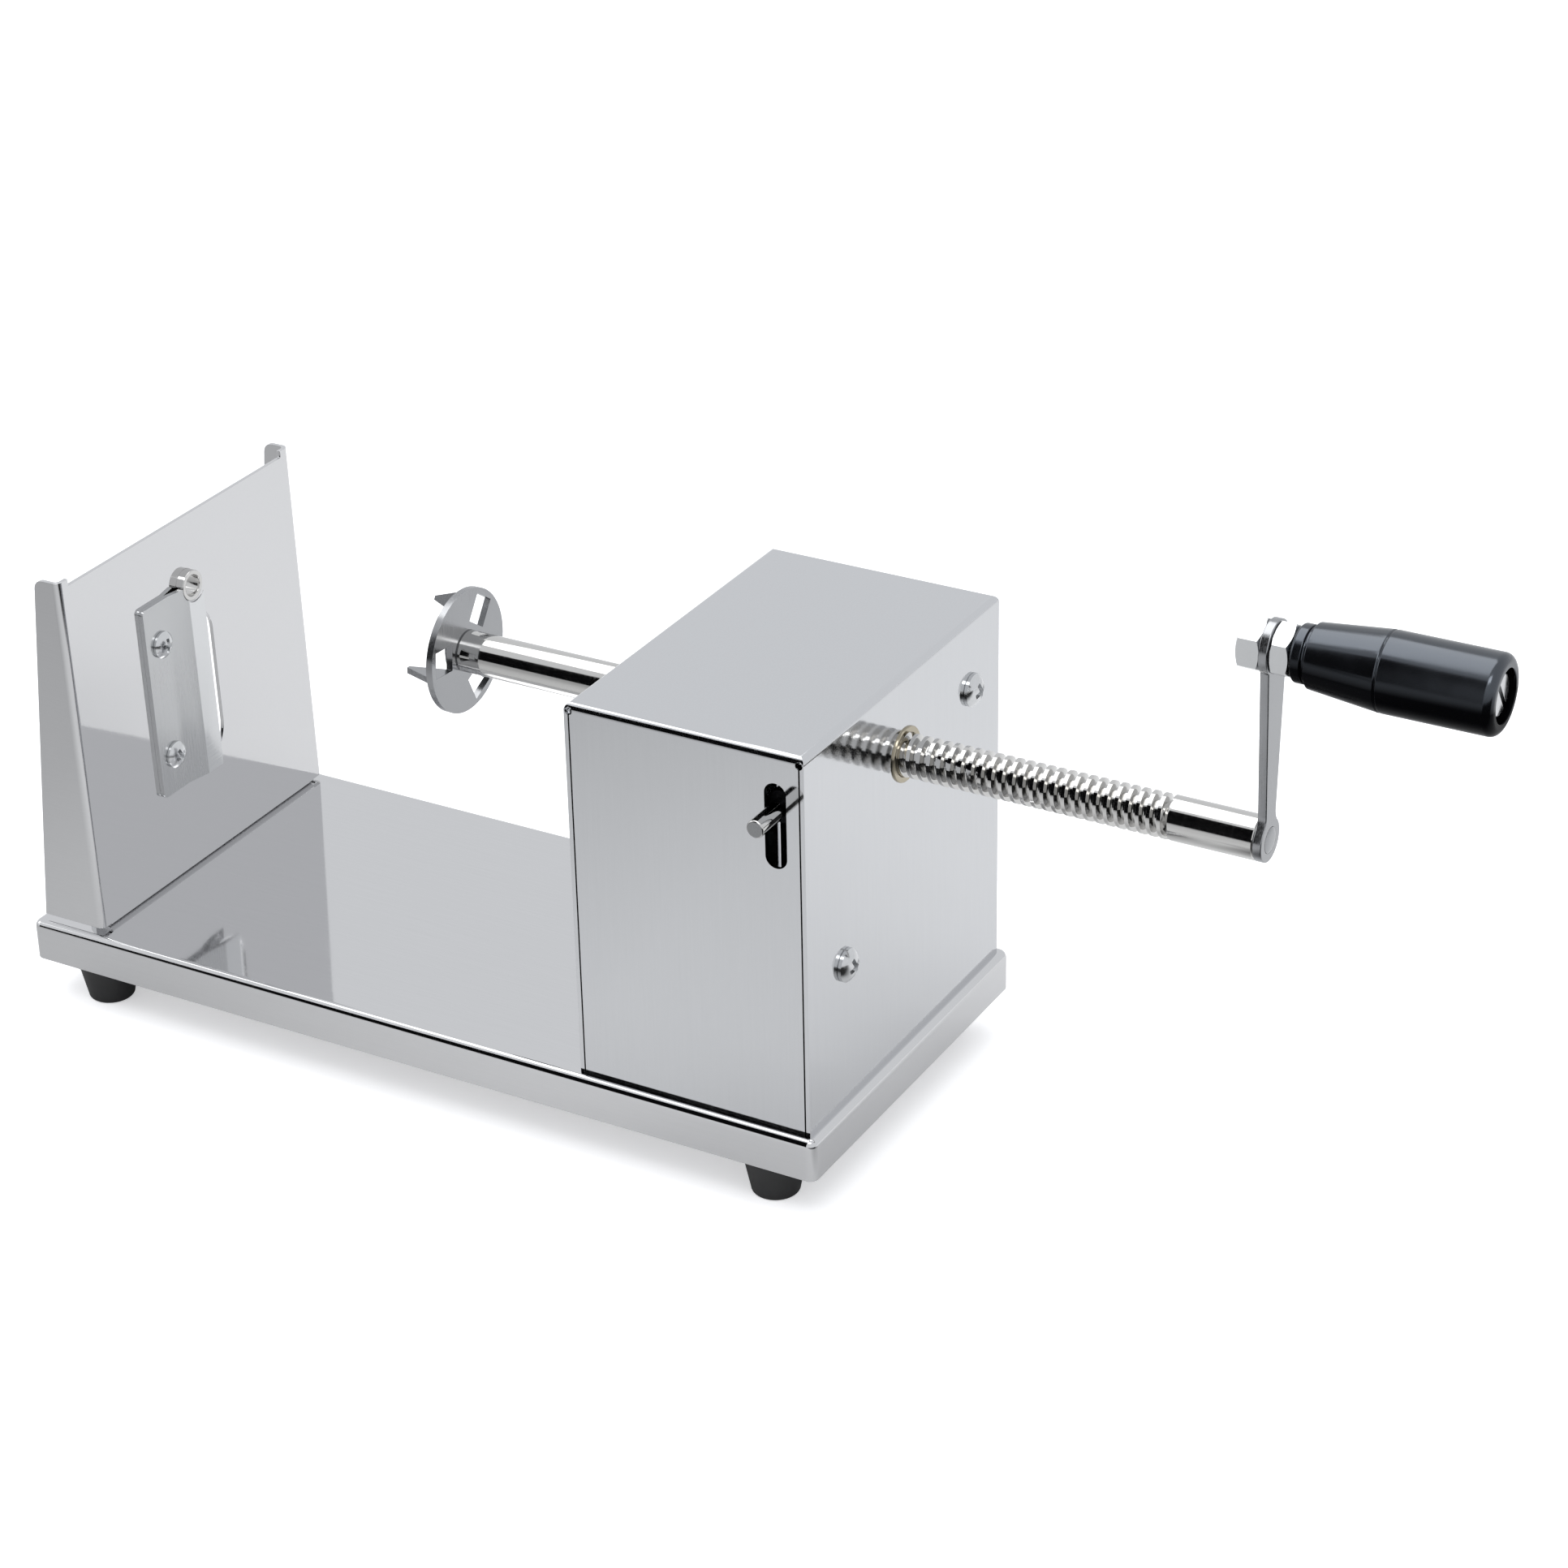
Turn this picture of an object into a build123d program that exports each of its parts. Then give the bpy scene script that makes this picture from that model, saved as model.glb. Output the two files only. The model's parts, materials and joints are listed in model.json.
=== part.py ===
"""Hand-cranked tornado potato cutter, with every piece of it as a solid of its own.

All sizes are in millimetres. X runs along the tray towards the crank, Y away from the finger pin, Z up.
The origin is on the floor, under the middle of the box round the whole cutter.
"""

import os
from math import atan2, cos, degrees, dist, hypot, pi, radians, sin, sqrt

from build123d import *

os.makedirs("parts", exist_ok=True)

# ---- Driving dimensions ----------------------------------------------------------------------

# Sheet metal and fits
SHEET = 1.2  # thickness of the tray, bracket and housing
BEND = 2.2  # outer radius of a fold
FIT = 0.05  # radial clearance of a shaft in its bush
GAP = 0.3  # clearance between pieces that stay apart
HOLE_CLEARANCE = 0.25  # a screw hole's radius over the screw's
SCREW_TIP = 1.0  # how far a screw stands out of its nut

# Tray and feet
TRAY_LENGTH = 260.0
TRAY_WIDTH = 116.0
TRAY_DEPTH = 12.3
TRAY_CORNER = 2.6
FOOT_DROP = 13.2  # from the skirt's lower edge to the floor
FOOT_RADIUS = 9.2
FOOT_SOLE_RADIUS = 6.8
FOOT_EDGE = 1.2
FOOT_INSET_X = 18.0  # from the tray's ends
FOOT_INSET_Y = 11.0  # from the tray's long edges
FOOT_WELL_RADIUS = 4.2
FOOT_WELL_DEPTH = 7.0

# Spindle, over the tray's middle
SPINDLE_HEIGHT = 88.4
ROD_RADIUS = 6.0
FEED_PITCH = 3.0  # travel in one turn of the thread

# Blade bracket: a plate that leans back, with side flanges and a foot flange
SIDE_INSET = 3.0  # from the tray's long edges to the bracket and the housing
BRACKET_BACK = 3.0  # from the tray's left end to the flanges' free edge
BRACKET_FRONT = 24.1  # from the tray's left end to the plate's face
BRACKET_LEAN = 2.7  # how far the plate's top lies back
BRACKET_RISE = 20.3  # from the spindle to the plate's top
FLANGE_TOP_WIDTH = 8.2
FLANGE_RISE = 2.0  # how far the side flanges stand over the plate
FLANGE_LIFT = 1.5  # from the tray to the side flanges
FLANGE_CORNER = 3.0
RELIEF = 4.5  # width of the notches beside the folds
WINDOW_WIDTH = 20.0
WINDOW_BOTTOM = 30.0
WINDOW_DROP = 8.4  # from the spindle down to the window's top

# Blade, on the plate
BLADE_THICK = 1.5
BLADE_REACH = 22.5  # from the spindle to the blade's fixed side
BLADE_FOLD_REACH = 10.5  # from the spindle to where the blade leaves the plate
BLADE_EDGE_REACH = 4.0  # past the spindle to the cutting edge
BLADE_LAND = 0.1
BLADE_BEVEL = 7.0
BLADE_BOTTOM = 29.0
BLADE_RISE = 0.6  # from the spindle to the blade's top
BLADE_SCREW_REACH = 15.6  # from the spindle
BLADE_SCREW_INSET_LOW = 11.7  # from the blade's bottom
BLADE_SCREW_INSET_HIGH = 13.0  # from the blade's top
BLADE_CORNER = 1.5

# Skewer guide, in the plate
GUIDE_BORE_RADIUS = 3.2
GUIDE_RADIUS = 4.6
GUIDE_NOSE = 2.6
GUIDE_FLANGE_RADIUS = 6.6
GUIDE_FLANGE = 1.2

# Housing
HOUSING_END_INSET = 2.6  # from the tray's right end
HOUSING_LENGTH = 71.1
HOUSING_RISE = 23.6  # from the spindle to the housing's top
SEAM = 0.45
SEAM_NOTCH_RADIUS = 1.1
SLOT_INSET = 8.5  # from the right face to the slot's middle
SLOT_WIDTH = 6.4
SLOT_BELOW_PIN = 16.4
SLOT_ABOVE_PIN = 8.2
RIGHT_FLANGE = 22.0
LEFT_FLANGE = 15.0
HOUSING_SCREW_INSET = 8.5  # from the left face
HOUSING_SCREW_MARGIN = 25.0  # from the side walls
BUSH_RIM_RADIUS = 7.8
BUSH_FLANGE_RADIUS = 10.5
BUSH_FLANGE = 2.0
BUSH_PROUD = 0.6

# Release lever, half nut and finger pin
PIVOT_INSET = 19.7  # from the tray's far edge
PIVOT_RISE = 2.1  # over the spindle
LEVER_THICK = 3.0
LEVER_WIDTH = 12.0
LEVER_EYE_RADIUS = 9.0
LEVER_LOW_DROP = 13.4  # from the spindle down to the low stretch
LEVER_LOW_FAR = 18.0  # from the spindle to the low stretch's ends
LEVER_LOW_NEAR = 14.0
LEVER_RISE_Y = 34.0
LEVER_RISE = 0.6  # over the spindle
LEVER_BOSS_RADIUS = 4.6
LEVER_BOSS_LENGTH = 12.0
LEVER_BOSS_GAP = 2.0  # from the front wall to the boss
PIN_RADIUS = 2.5
PIN_RISE = 6.7  # over the spindle
PIN_PROUD = 10.7
PIN_DEPTH = 10.0
PIN_TIP = 0.5
NUT_BLOCK_LENGTH = 13.0
NUT_BLOCK_WIDTH = 24.0
NUT_BLOCK_DEPTH = 20.0  # from the spindle's axis down
NUT_SCREW_DROP = 13.6
NUT_SCREW_MARGIN = 4.0  # from the block's sides
NUT_SCREW_DEPTH = 9.0
SLEEVE_RADIUS = 4.0
SLEEVE_SHOULDER_RADIUS = 6.5

# Return spring and its seat
SEAT_Y = 23.6
SEAT_SCREW_HEIGHT = 42.0
SEAT_THICK = 1.5
SEAT_WIDTH = 16.0
SEAT_FOOT_HEIGHT = 33.0
SEAT_SHELF_HEIGHT = 50.0
SEAT_REACH = 15.0
LUG_DROP = 6.4  # under the spindle
LUG_THICK = 2.5
LUG_WIDTH = 12.0
SPIGOT_RADIUS = 2.4
SPIGOT_LENGTH = 3.0
SPRING_RADIUS = 3.7  # to the middle of the wire
SPRING_WIRE_RADIUS = 0.6
SPRING_TURNS = 7

# Drive disc, its prongs and its ring
DISC_REAR = 119.5  # from the tray's left end
DISC_RADIUS = 18.0
DISC_THICK = 2.0
PRONG_COUNT = 3
PRONG_ANGLE = 55.0  # of the first one
PRONG_LENGTH = 10.0
PRONG_THICK = 1.8
PRONG_TIP = 1.2
LANCE_INNER = 7.8
LANCE_OUTER = 16.0
LANCE_SPAN = 8.6
NECK_RADIUS = 5.0
RING_GROOVE_RADIUS = 4.2
RING_THICK = 1.0
RING_SLACK = 0.1
RING_RADIUS = 6.8
RING_OPENING = 5.0
NOSE_LENGTH = 1.6
NOSE_CHAMFER = 0.5
CENTRE_RADIUS = 1.6
CENTRE_DEPTH = 8.0

# Crank arm, its nuts, the axle and the grip
ARM_REACH = 98.9  # from the tray's right end
ARM_THICK = 2.5
CRANK_RADIUS = 54.0
ARM_FOOT_RADIUS = 6.0
ARM_FOOT_WIDTH = 5.2
ARM_HEAD_WIDTH = 11.4
ARM_EYE_RADIUS = 7.4
ARM_NECK = 5.0
TENON_RADIUS = 3.5
AXLE_RADIUS = 4.0
AXLE_FLATS = 13.0
AXLE_NUT = 6.5
AXLE_COLLAR = 5.2
AXLE_NUT_CHAMFER = 0.65
AXLE_HEAD_RADIUS = 5.5
AXLE_HEAD = 3.0
GRIP_LENGTH = 53.5
GRIP_BORE_CLEARANCE = 0.1
GRIP_CONE_END = 23.5
GRIP_RADIUS = 10.5
GRIP_NOSE_RADIUS = 8.5
GRIP_LIP_RADIUS = 7.6
GRIP_LIP = 3.0
GRIP_NECK_RADIUS = 7.0
GRIP_NECK = 1.2
GRIP_PARTING = 0.5
GRIP_EDGE = 2.4
GRIP_WELL_RADIUS = 7.0
GRIP_WELL = 4.5

# Fasteners: shank radius, head radius, head height, nut across flats, nut height
M4 = dict(shank=2.0, head=4.0, crown=2.6, flats=7.0, nut=3.2)
M5 = dict(shank=2.5, head=4.75, crown=3.2, flats=8.0, nut=4.0)
RIM_SHARE = 1 / 3  # of a pan head's height that is its straight rim

# ---- Datums that follow from the sizes -------------------------------------------------------

ARM_LEFT = TRAY_LENGTH + ARM_REACH
GRIP_START = ARM_LEFT + ARM_THICK + AXLE_COLLAR + GAP
TRAY_LEFT = -(GRIP_START + GRIP_LENGTH) / 2
TRAY_NEAR = (PIN_PROUD - SIDE_INSET - TRAY_WIDTH) / 2
TRAY_TOP = FOOT_DROP + TRAY_DEPTH
TRAY_MIDDLE_X = TRAY_LEFT + TRAY_LENGTH / 2
TRAY_MIDDLE_Y = TRAY_NEAR + TRAY_WIDTH / 2
SPINDLE_Y = TRAY_WIDTH / 2
SPIN_Y = TRAY_NEAR + SPINDLE_Y
SPIN_Z = TRAY_TOP + SPINDLE_HEIGHT
SPIN_AXIS = Axis((0, SPIN_Y, SPIN_Z), (1, 0, 0))
GRIP_Z = SPIN_Z + CRANK_RADIUS
GRIP_AXIS = Axis((0, SPIN_Y, GRIP_Z), (1, 0, 0))

BRACKET_HEIGHT = SPINDLE_HEIGHT + BRACKET_RISE
WINDOW_TOP = SPINDLE_HEIGHT - WINDOW_DROP
BLADE_TOP = SPINDLE_HEIGHT + BLADE_RISE
BLADE_LEFT = SPINDLE_Y - BLADE_REACH
BLADE_FOLD = SPINDLE_Y - BLADE_FOLD_REACH
BLADE_EDGE = SPINDLE_Y + BLADE_EDGE_REACH
BLADE_SCREW_Y = SPINDLE_Y - BLADE_SCREW_REACH
BLADE_SCREW_HEIGHTS = (BLADE_BOTTOM + BLADE_SCREW_INSET_LOW, BLADE_TOP - BLADE_SCREW_INSET_HIGH)
HOUSING_HEIGHT = SPINDLE_HEIGHT + HOUSING_RISE
PIN_HEIGHT = SPINDLE_HEIGHT + PIN_RISE
SLOT_BOTTOM = PIN_HEIGHT - SLOT_BELOW_PIN
SLOT_TOP = PIN_HEIGHT + SLOT_ABOVE_PIN

FOLDED_WIDTH = TRAY_WIDTH - 2 * SIDE_INSET
NEAR_WALL = TRAY_NEAR + SIDE_INSET
FAR_WALL = NEAR_WALL + FOLDED_WIDTH
PLATE_FACE = TRAY_LEFT + BRACKET_FRONT
LEAN = atan2(BRACKET_LEAN, BRACKET_HEIGHT)
# On the plate's face: its own X is the distance from the tray's near edge, its own Y the height.
PLATE = Plane(origin=(PLATE_FACE, TRAY_NEAR, TRAY_TOP), x_dir=(0, 1, 0), z_dir=(cos(LEAN), 0, sin(LEAN)))

RIGHT_FACE = TRAY_LEFT + TRAY_LENGTH - HOUSING_END_INSET
LEFT_FACE = RIGHT_FACE - HOUSING_LENGTH
LEFT_INSIDE = LEFT_FACE + SHEET
RIGHT_INSIDE = RIGHT_FACE - SHEET
NEAR_INSIDE = NEAR_WALL + SHEET

LEVER_X = RIGHT_FACE - SLOT_INSET
LEVER_LEFT = LEVER_X - LEVER_THICK / 2
LEVER_RIGHT = LEVER_X + LEVER_THICK / 2
PIVOT = (TRAY_NEAR + TRAY_WIDTH - PIVOT_INSET, SPIN_Z + PIVOT_RISE)
PIN_Z = TRAY_TOP + PIN_HEIGHT
BOSS_FACE = NEAR_INSIDE + LEVER_BOSS_GAP
SEAT = (TRAY_NEAR + SEAT_Y, TRAY_TOP + SEAT_SHELF_HEIGHT)
LUG_Z = SPIN_Z - LUG_DROP

DISC_BACK = TRAY_LEFT + DISC_REAR
DISC_FRONT = DISC_BACK - DISC_THICK
ARM_INNER = TRAY_LEFT + ARM_LEFT
ARM_OUTER = ARM_INNER + ARM_THICK
GRIP_LEFT = TRAY_LEFT + GRIP_START
GRIP_RIGHT = GRIP_LEFT + GRIP_LENGTH

FOOT_SPREAD_X = TRAY_LENGTH - 2 * FOOT_INSET_X
FOOT_SPREAD_Y = TRAY_WIDTH - 2 * FOOT_INSET_Y
HOUSING_SCREW_X = LEFT_FACE + HOUSING_SCREW_INSET
HOUSING_SCREW_SPREAD = FOLDED_WIDTH - 2 * HOUSING_SCREW_MARGIN


def foot_spots(height):
    """The four feet's places at one height."""
    middle = Plane((TRAY_MIDDLE_X, TRAY_MIDDLE_Y, height))
    return [middle * spot for spot in GridLocations(FOOT_SPREAD_X, FOOT_SPREAD_Y, 2, 2)]


def housing_screw_spots(height):
    """The two places of the screws in the housing's left flange."""
    middle = Plane((HOUSING_SCREW_X, TRAY_MIDDLE_Y, height))
    return [middle * spot for spot in GridLocations(0, HOUSING_SCREW_SPREAD, 1, 2)]


def square_to_spindle(x, y=0.0, z=0.0):
    """A plane that faces +X: its own X runs along Y, its own Y runs up."""
    return Plane(origin=(x, y, z), x_dir=(0, 1, 0), z_dir=(1, 0, 0))


def side_on(y, z=0.0):
    """A plane that faces the near side: its own X runs along X, its own Y runs up."""
    return Plane(origin=(0, y, z), x_dir=(1, 0, 0), z_dir=(0, -1, 0))


def upside_down(spot):
    """The same place, turned to point down."""
    return spot * Location((0, 0, 0), (180, 0, 0))


def pan_screw(size, length):
    """A pan-head screw, its head above the origin and its shank below it."""
    head, crown, shank = size["head"], size["crown"], size["shank"]
    with BuildPart(mode=Mode.PRIVATE) as screw:
        with BuildSketch(Plane.XZ):
            with BuildLine():
                rim = (head, crown * RIM_SHARE)
                Polyline((0, crown), (0, -length), (shank, -length), (shank, 0), (head, 0), rim)
                TangentArc((0, crown), rim, tangent=(1, 0))
            make_face()
        revolve(axis=Axis.Z)
    return screw.part


def hexagon_nut(flats, height, bore, corner=0.0):
    """A hexagon nut that stands on the origin, with its corners turned down by a chamfer."""
    with BuildPart(mode=Mode.PRIVATE) as nut:
        with BuildSketch():
            RegularPolygon(flats / 2, 6, major_radius=False, rotation=30)
            Circle(bore, mode=Mode.SUBTRACT)
        extrude(amount=height)
        if corner:
            reach = flats / sqrt(3)
            with BuildSketch(Plane.XZ):
                Polygon(
                    (0, 0),
                    (flats / 2, 0),
                    (reach, corner),
                    (reach, height - corner),
                    (flats / 2, height),
                    (0, height),
                    align=None,
                )
            revolve(axis=Axis.Z, mode=Mode.INTERSECT)
    return nut.part


# ---- Tray and feet ---------------------------------------------------------------------------

with BuildPart() as tray:
    with BuildSketch(Plane.XY.offset(FOOT_DROP)):
        with Locations((TRAY_MIDDLE_X, TRAY_MIDDLE_Y)):
            RectangleRounded(TRAY_LENGTH, TRAY_WIDTH, TRAY_CORNER)
    extrude(amount=TRAY_DEPTH)
    fillet(tray.faces().sort_by(Axis.Z)[-1].edges(), BEND)
    offset(amount=-SHEET, openings=tray.faces().sort_by(Axis.Z)[0])
    with Locations(*foot_spots(TRAY_TOP), *housing_screw_spots(TRAY_TOP)):
        Hole(M4["shank"] + HOLE_CLEARANCE, depth=SHEET)
tray.part.label = "tray"
export_step(tray.part, "parts/tray.step")

with BuildPart(mode=Mode.PRIVATE) as foot:
    ceiling = TRAY_TOP - SHEET
    shoulder = BEND - SHEET
    with BuildSketch(Plane.XZ):
        with BuildLine():
            Polyline(
                (FOOT_SOLE_RADIUS - FOOT_EDGE, 0),
                (M4["shank"] + HOLE_CLEARANCE, 0),
                (M4["shank"] + HOLE_CLEARANCE, ceiling),
                (FOOT_RADIUS - shoulder, ceiling),
                (FOOT_RADIUS, ceiling - shoulder),
                (FOOT_RADIUS, FOOT_DROP),
                (FOOT_SOLE_RADIUS, FOOT_EDGE),
            )
            TangentArc((FOOT_SOLE_RADIUS - FOOT_EDGE, 0), (FOOT_SOLE_RADIUS, FOOT_EDGE), tangent=(1, 0))
        make_face()
    revolve(axis=Axis.Z)
    with Locations((0, 0, 0)):
        Cylinder(FOOT_WELL_RADIUS, 2 * FOOT_WELL_DEPTH, mode=Mode.SUBTRACT)

with BuildPart() as rubber_feet:
    with Locations(*foot_spots(0)):
        add(foot.part)
rubber_feet.part.label = "rubber_feet"
export_step(rubber_feet.part, "parts/rubber_feet.step")

FOOT_NUT_Z = TRAY_TOP + SHEET
with BuildPart() as foot_screws:
    with Locations(*[upside_down(spot) for spot in foot_spots(FOOT_WELL_DEPTH)]):
        add(pan_screw(M4, FOOT_NUT_Z + M4["nut"] + SCREW_TIP - FOOT_WELL_DEPTH))
foot_screws.part.label = "foot_screws"
export_step(foot_screws.part, "parts/foot_screws.step")

with BuildPart() as foot_nuts:
    with Locations(*foot_spots(FOOT_NUT_Z)):
        add(hexagon_nut(M4["flats"], M4["nut"], M4["shank"]))
foot_nuts.part.label = "foot_nuts"
export_step(foot_nuts.part, "parts/foot_nuts.step")

# ---- Blade bracket ---------------------------------------------------------------------------

with BuildPart() as blade_bracket:
    full_height = BRACKET_HEIGHT + FLANGE_RISE
    top_front = PLATE_FACE - BRACKET_LEAN * full_height / BRACKET_HEIGHT
    with BuildSketch(side_on(NEAR_WALL, TRAY_TOP)):
        Polygon(
            (TRAY_LEFT + BRACKET_BACK, 0),
            (PLATE_FACE, 0),
            (top_front, full_height),
            (top_front - FLANGE_TOP_WIDTH, full_height),
            align=None,
        )
    extrude(amount=-FOLDED_WIDTH)
    folds = blade_bracket.faces().sort_by(Axis.X)[-1].edges().sort_by(Axis.Z)[:-1]
    fillet(folds, BEND)
    open_sides = [blade_bracket.faces().sort_by(Axis.X)[0], blade_bracket.faces().sort_by(Axis.Z)[-1]]
    offset(amount=-SHEET, openings=open_sides)
    # Notches part the side flanges from the foot flange, and the plate ends below the flanges.
    for wall, inward in ((NEAR_WALL, 1), (FAR_WALL, -1)):
        with BuildSketch(square_to_spindle(PLATE_FACE, wall, TRAY_TOP)):
            with Locations((inward * RELIEF / 2, FLANGE_LIFT / 2)):
                Rectangle(RELIEF, FLANGE_LIFT)
        extrude(amount=-BRACKET_FRONT, mode=Mode.SUBTRACT)
    with BuildSketch(square_to_spindle(PLATE_FACE, SPIN_Y, TRAY_TOP + BRACKET_HEIGHT)):
        with Locations((TRAY_MIDDLE_Y - SPIN_Y, FLANGE_RISE / 2)):
            Rectangle(FOLDED_WIDTH - 2 * RELIEF, FLANGE_RISE)
    extrude(amount=-BRACKET_FRONT, mode=Mode.SUBTRACT)
    corners = blade_bracket.edges().filter_by(Axis.Y).group_by(Axis.Z)[-1].group_by(Axis.X)[0]
    fillet(corners, FLANGE_CORNER)
    with BuildSketch(PLATE):
        with Locations((SPINDLE_Y, (WINDOW_BOTTOM + WINDOW_TOP) / 2)):
            SlotOverall(WINDOW_TOP - WINDOW_BOTTOM, WINDOW_WIDTH, rotation=90)
        with Locations((SPINDLE_Y, SPINDLE_HEIGHT)):
            Circle(GUIDE_RADIUS)
        with Locations(*[(BLADE_SCREW_Y, height) for height in BLADE_SCREW_HEIGHTS]):
            Circle(M4["shank"] + HOLE_CLEARANCE)
    extrude(amount=-2 * SHEET, mode=Mode.SUBTRACT)
    with Locations(*foot_spots(FOOT_NUT_Z)[:2]):
        Hole(M4["shank"] + HOLE_CLEARANCE, depth=SHEET)
blade_bracket.part.label = "blade_bracket"
export_step(blade_bracket.part, "parts/blade_bracket.step")

with BuildPart() as skewer_guide:
    with BuildSketch(PLATE.offset(-SHEET - GUIDE_FLANGE)):
        with Locations((SPINDLE_Y, SPINDLE_HEIGHT)):
            Circle(GUIDE_FLANGE_RADIUS)
            Circle(GUIDE_BORE_RADIUS, mode=Mode.SUBTRACT)
    extrude(amount=GUIDE_FLANGE)
    with BuildSketch(PLATE.offset(-SHEET)):
        with Locations((SPINDLE_Y, SPINDLE_HEIGHT)):
            Circle(GUIDE_RADIUS)
            Circle(GUIDE_BORE_RADIUS, mode=Mode.SUBTRACT)
    extrude(amount=SHEET + GUIDE_NOSE)
skewer_guide.part.label = "skewer_guide"
export_step(skewer_guide.part, "parts/skewer_guide.step")

# ---- Blade -----------------------------------------------------------------------------------

# The edge stands one turn's feed off the plate, so each turn cuts a slice of that thickness.
BLADE_END = Plane(
    origin=PLATE.from_local_coords((0, BLADE_TOP, 0)), x_dir=PLATE.x_dir, z_dir=-PLATE.y_dir
)
with BuildPart() as blade:
    slope = FEED_PITCH / (BLADE_EDGE - BLADE_FOLD)
    crest_y = BLADE_EDGE - BLADE_BEVEL
    crest = (crest_y - BLADE_FOLD) * slope + BLADE_THICK * hypot(1, slope)
    with BuildSketch(BLADE_END):
        Polygon(
            (BLADE_LEFT, 0),
            (BLADE_FOLD, 0),
            (BLADE_EDGE, FEED_PITCH),
            (BLADE_EDGE, FEED_PITCH + BLADE_LAND),
            (crest_y, crest),
            (BLADE_FOLD, BLADE_THICK),
            (BLADE_LEFT, BLADE_THICK),
            align=None,
        )
    extrude(amount=BLADE_TOP - BLADE_BOTTOM)
    across = Axis((0, 0, 0), PLATE.z_dir)
    fillet(blade.edges().filter_by(across).sort_by(Axis.Y)[:2], BLADE_CORNER)
    with BuildSketch(PLATE):
        with Locations((SPINDLE_Y, SPINDLE_HEIGHT)):
            Circle(GUIDE_RADIUS + GAP)
        with Locations(*[(BLADE_SCREW_Y, height) for height in BLADE_SCREW_HEIGHTS]):
            Circle(M4["shank"] + HOLE_CLEARANCE)
    extrude(amount=FEED_PITCH + 2 * BLADE_THICK, mode=Mode.SUBTRACT)
blade.part.label = "blade"
export_step(blade.part, "parts/blade.step")

BLADE_BACK = PLATE.offset(-SHEET)
BLADE_FRONT = PLATE.offset(BLADE_THICK)
BLADE_SCREW_LENGTH = BLADE_THICK + SHEET + M4["nut"] + SCREW_TIP
with BuildPart() as blade_screws:
    with Locations(*[BLADE_FRONT * Location((BLADE_SCREW_Y, height, 0)) for height in BLADE_SCREW_HEIGHTS]):
        add(pan_screw(M4, BLADE_SCREW_LENGTH))
blade_screws.part.label = "blade_screws"
export_step(blade_screws.part, "parts/blade_screws.step")

with BuildPart() as blade_nuts:
    seats = [BLADE_BACK * Location((BLADE_SCREW_Y, height, 0)) for height in BLADE_SCREW_HEIGHTS]
    with Locations(*[upside_down(seat) for seat in seats]):
        add(hexagon_nut(M4["flats"], M4["nut"], M4["shank"]))
blade_nuts.part.label = "blade_nuts"
export_step(blade_nuts.part, "parts/blade_nuts.step")

# ---- Housing and its bushes ------------------------------------------------------------------

with BuildPart() as housing:
    with BuildSketch(Plane.XY.offset(TRAY_TOP)):
        with Locations(((LEFT_FACE + RIGHT_FACE) / 2, TRAY_MIDDLE_Y)):
            Rectangle(HOUSING_LENGTH, FOLDED_WIDTH)
    extrude(amount=HOUSING_HEIGHT)
    fillet(housing.faces().sort_by(Axis.Z)[-1].edges(), BEND)
    offset(amount=-SHEET, openings=housing.faces().sort_by(Axis.Z)[0])
    # Flanges turned in along the tray
    with BuildSketch(Plane.XY.offset(TRAY_TOP)):
        with Locations((RIGHT_FACE - RIGHT_FLANGE / 2, TRAY_MIDDLE_Y)):
            Rectangle(RIGHT_FLANGE, FOLDED_WIDTH - 2 * RELIEF)
        with Locations((LEFT_FACE + LEFT_FLANGE / 2, TRAY_MIDDLE_Y)):
            Rectangle(LEFT_FLANGE, FOLDED_WIDTH - 2 * RELIEF)
    extrude(amount=SHEET)
    # Open seams down the four corners, with a round notch at the top of each
    seam_top = HOUSING_HEIGHT - BEND
    for wall in (NEAR_WALL, FAR_WALL - SHEET):
        with BuildSketch(side_on(wall, TRAY_TOP)):
            for seam in (LEFT_INSIDE + SEAM / 2, RIGHT_INSIDE - SEAM / 2):
                with Locations((seam, seam_top / 2)):
                    Rectangle(SEAM, seam_top)
                with Locations((seam, seam_top)):
                    Circle(SEAM_NOTCH_RADIUS)
        extrude(amount=-SHEET, mode=Mode.SUBTRACT)
    with BuildSketch(side_on(NEAR_WALL, TRAY_TOP)):
        with Locations((LEVER_X, (SLOT_BOTTOM + SLOT_TOP) / 2)):
            SlotOverall(SLOT_TOP - SLOT_BOTTOM, SLOT_WIDTH, rotation=90)
    extrude(amount=-SHEET, mode=Mode.SUBTRACT)
    with BuildSketch(square_to_spindle(RIGHT_FACE)):
        with Locations((SPIN_Y, SPIN_Z)):
            Circle(BUSH_RIM_RADIUS)
        with Locations(PIVOT, (SEAT[0], TRAY_TOP + SEAT_SCREW_HEIGHT)):
            Circle(M5["shank"] + HOLE_CLEARANCE)
    extrude(amount=-SHEET, mode=Mode.SUBTRACT)
    with BuildSketch(square_to_spindle(LEFT_FACE)):
        with Locations((SPIN_Y, SPIN_Z)):
            Circle(BUSH_RIM_RADIUS)
    extrude(amount=SHEET, mode=Mode.SUBTRACT)
    with Locations(*foot_spots(FOOT_NUT_Z)[2:], *housing_screw_spots(FOOT_NUT_Z)):
        Hole(M4["shank"] + HOLE_CLEARANCE, depth=SHEET)
housing.part.label = "housing"
export_step(housing.part, "parts/housing.step")

UNDER_TRAY = TRAY_TOP - SHEET
with BuildPart() as housing_screws:
    with Locations(*[upside_down(spot) for spot in housing_screw_spots(UNDER_TRAY)]):
        add(pan_screw(M4, 2 * SHEET + M4["nut"] + SCREW_TIP))
housing_screws.part.label = "housing_screws"
export_step(housing_screws.part, "parts/housing_screws.step")

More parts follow.
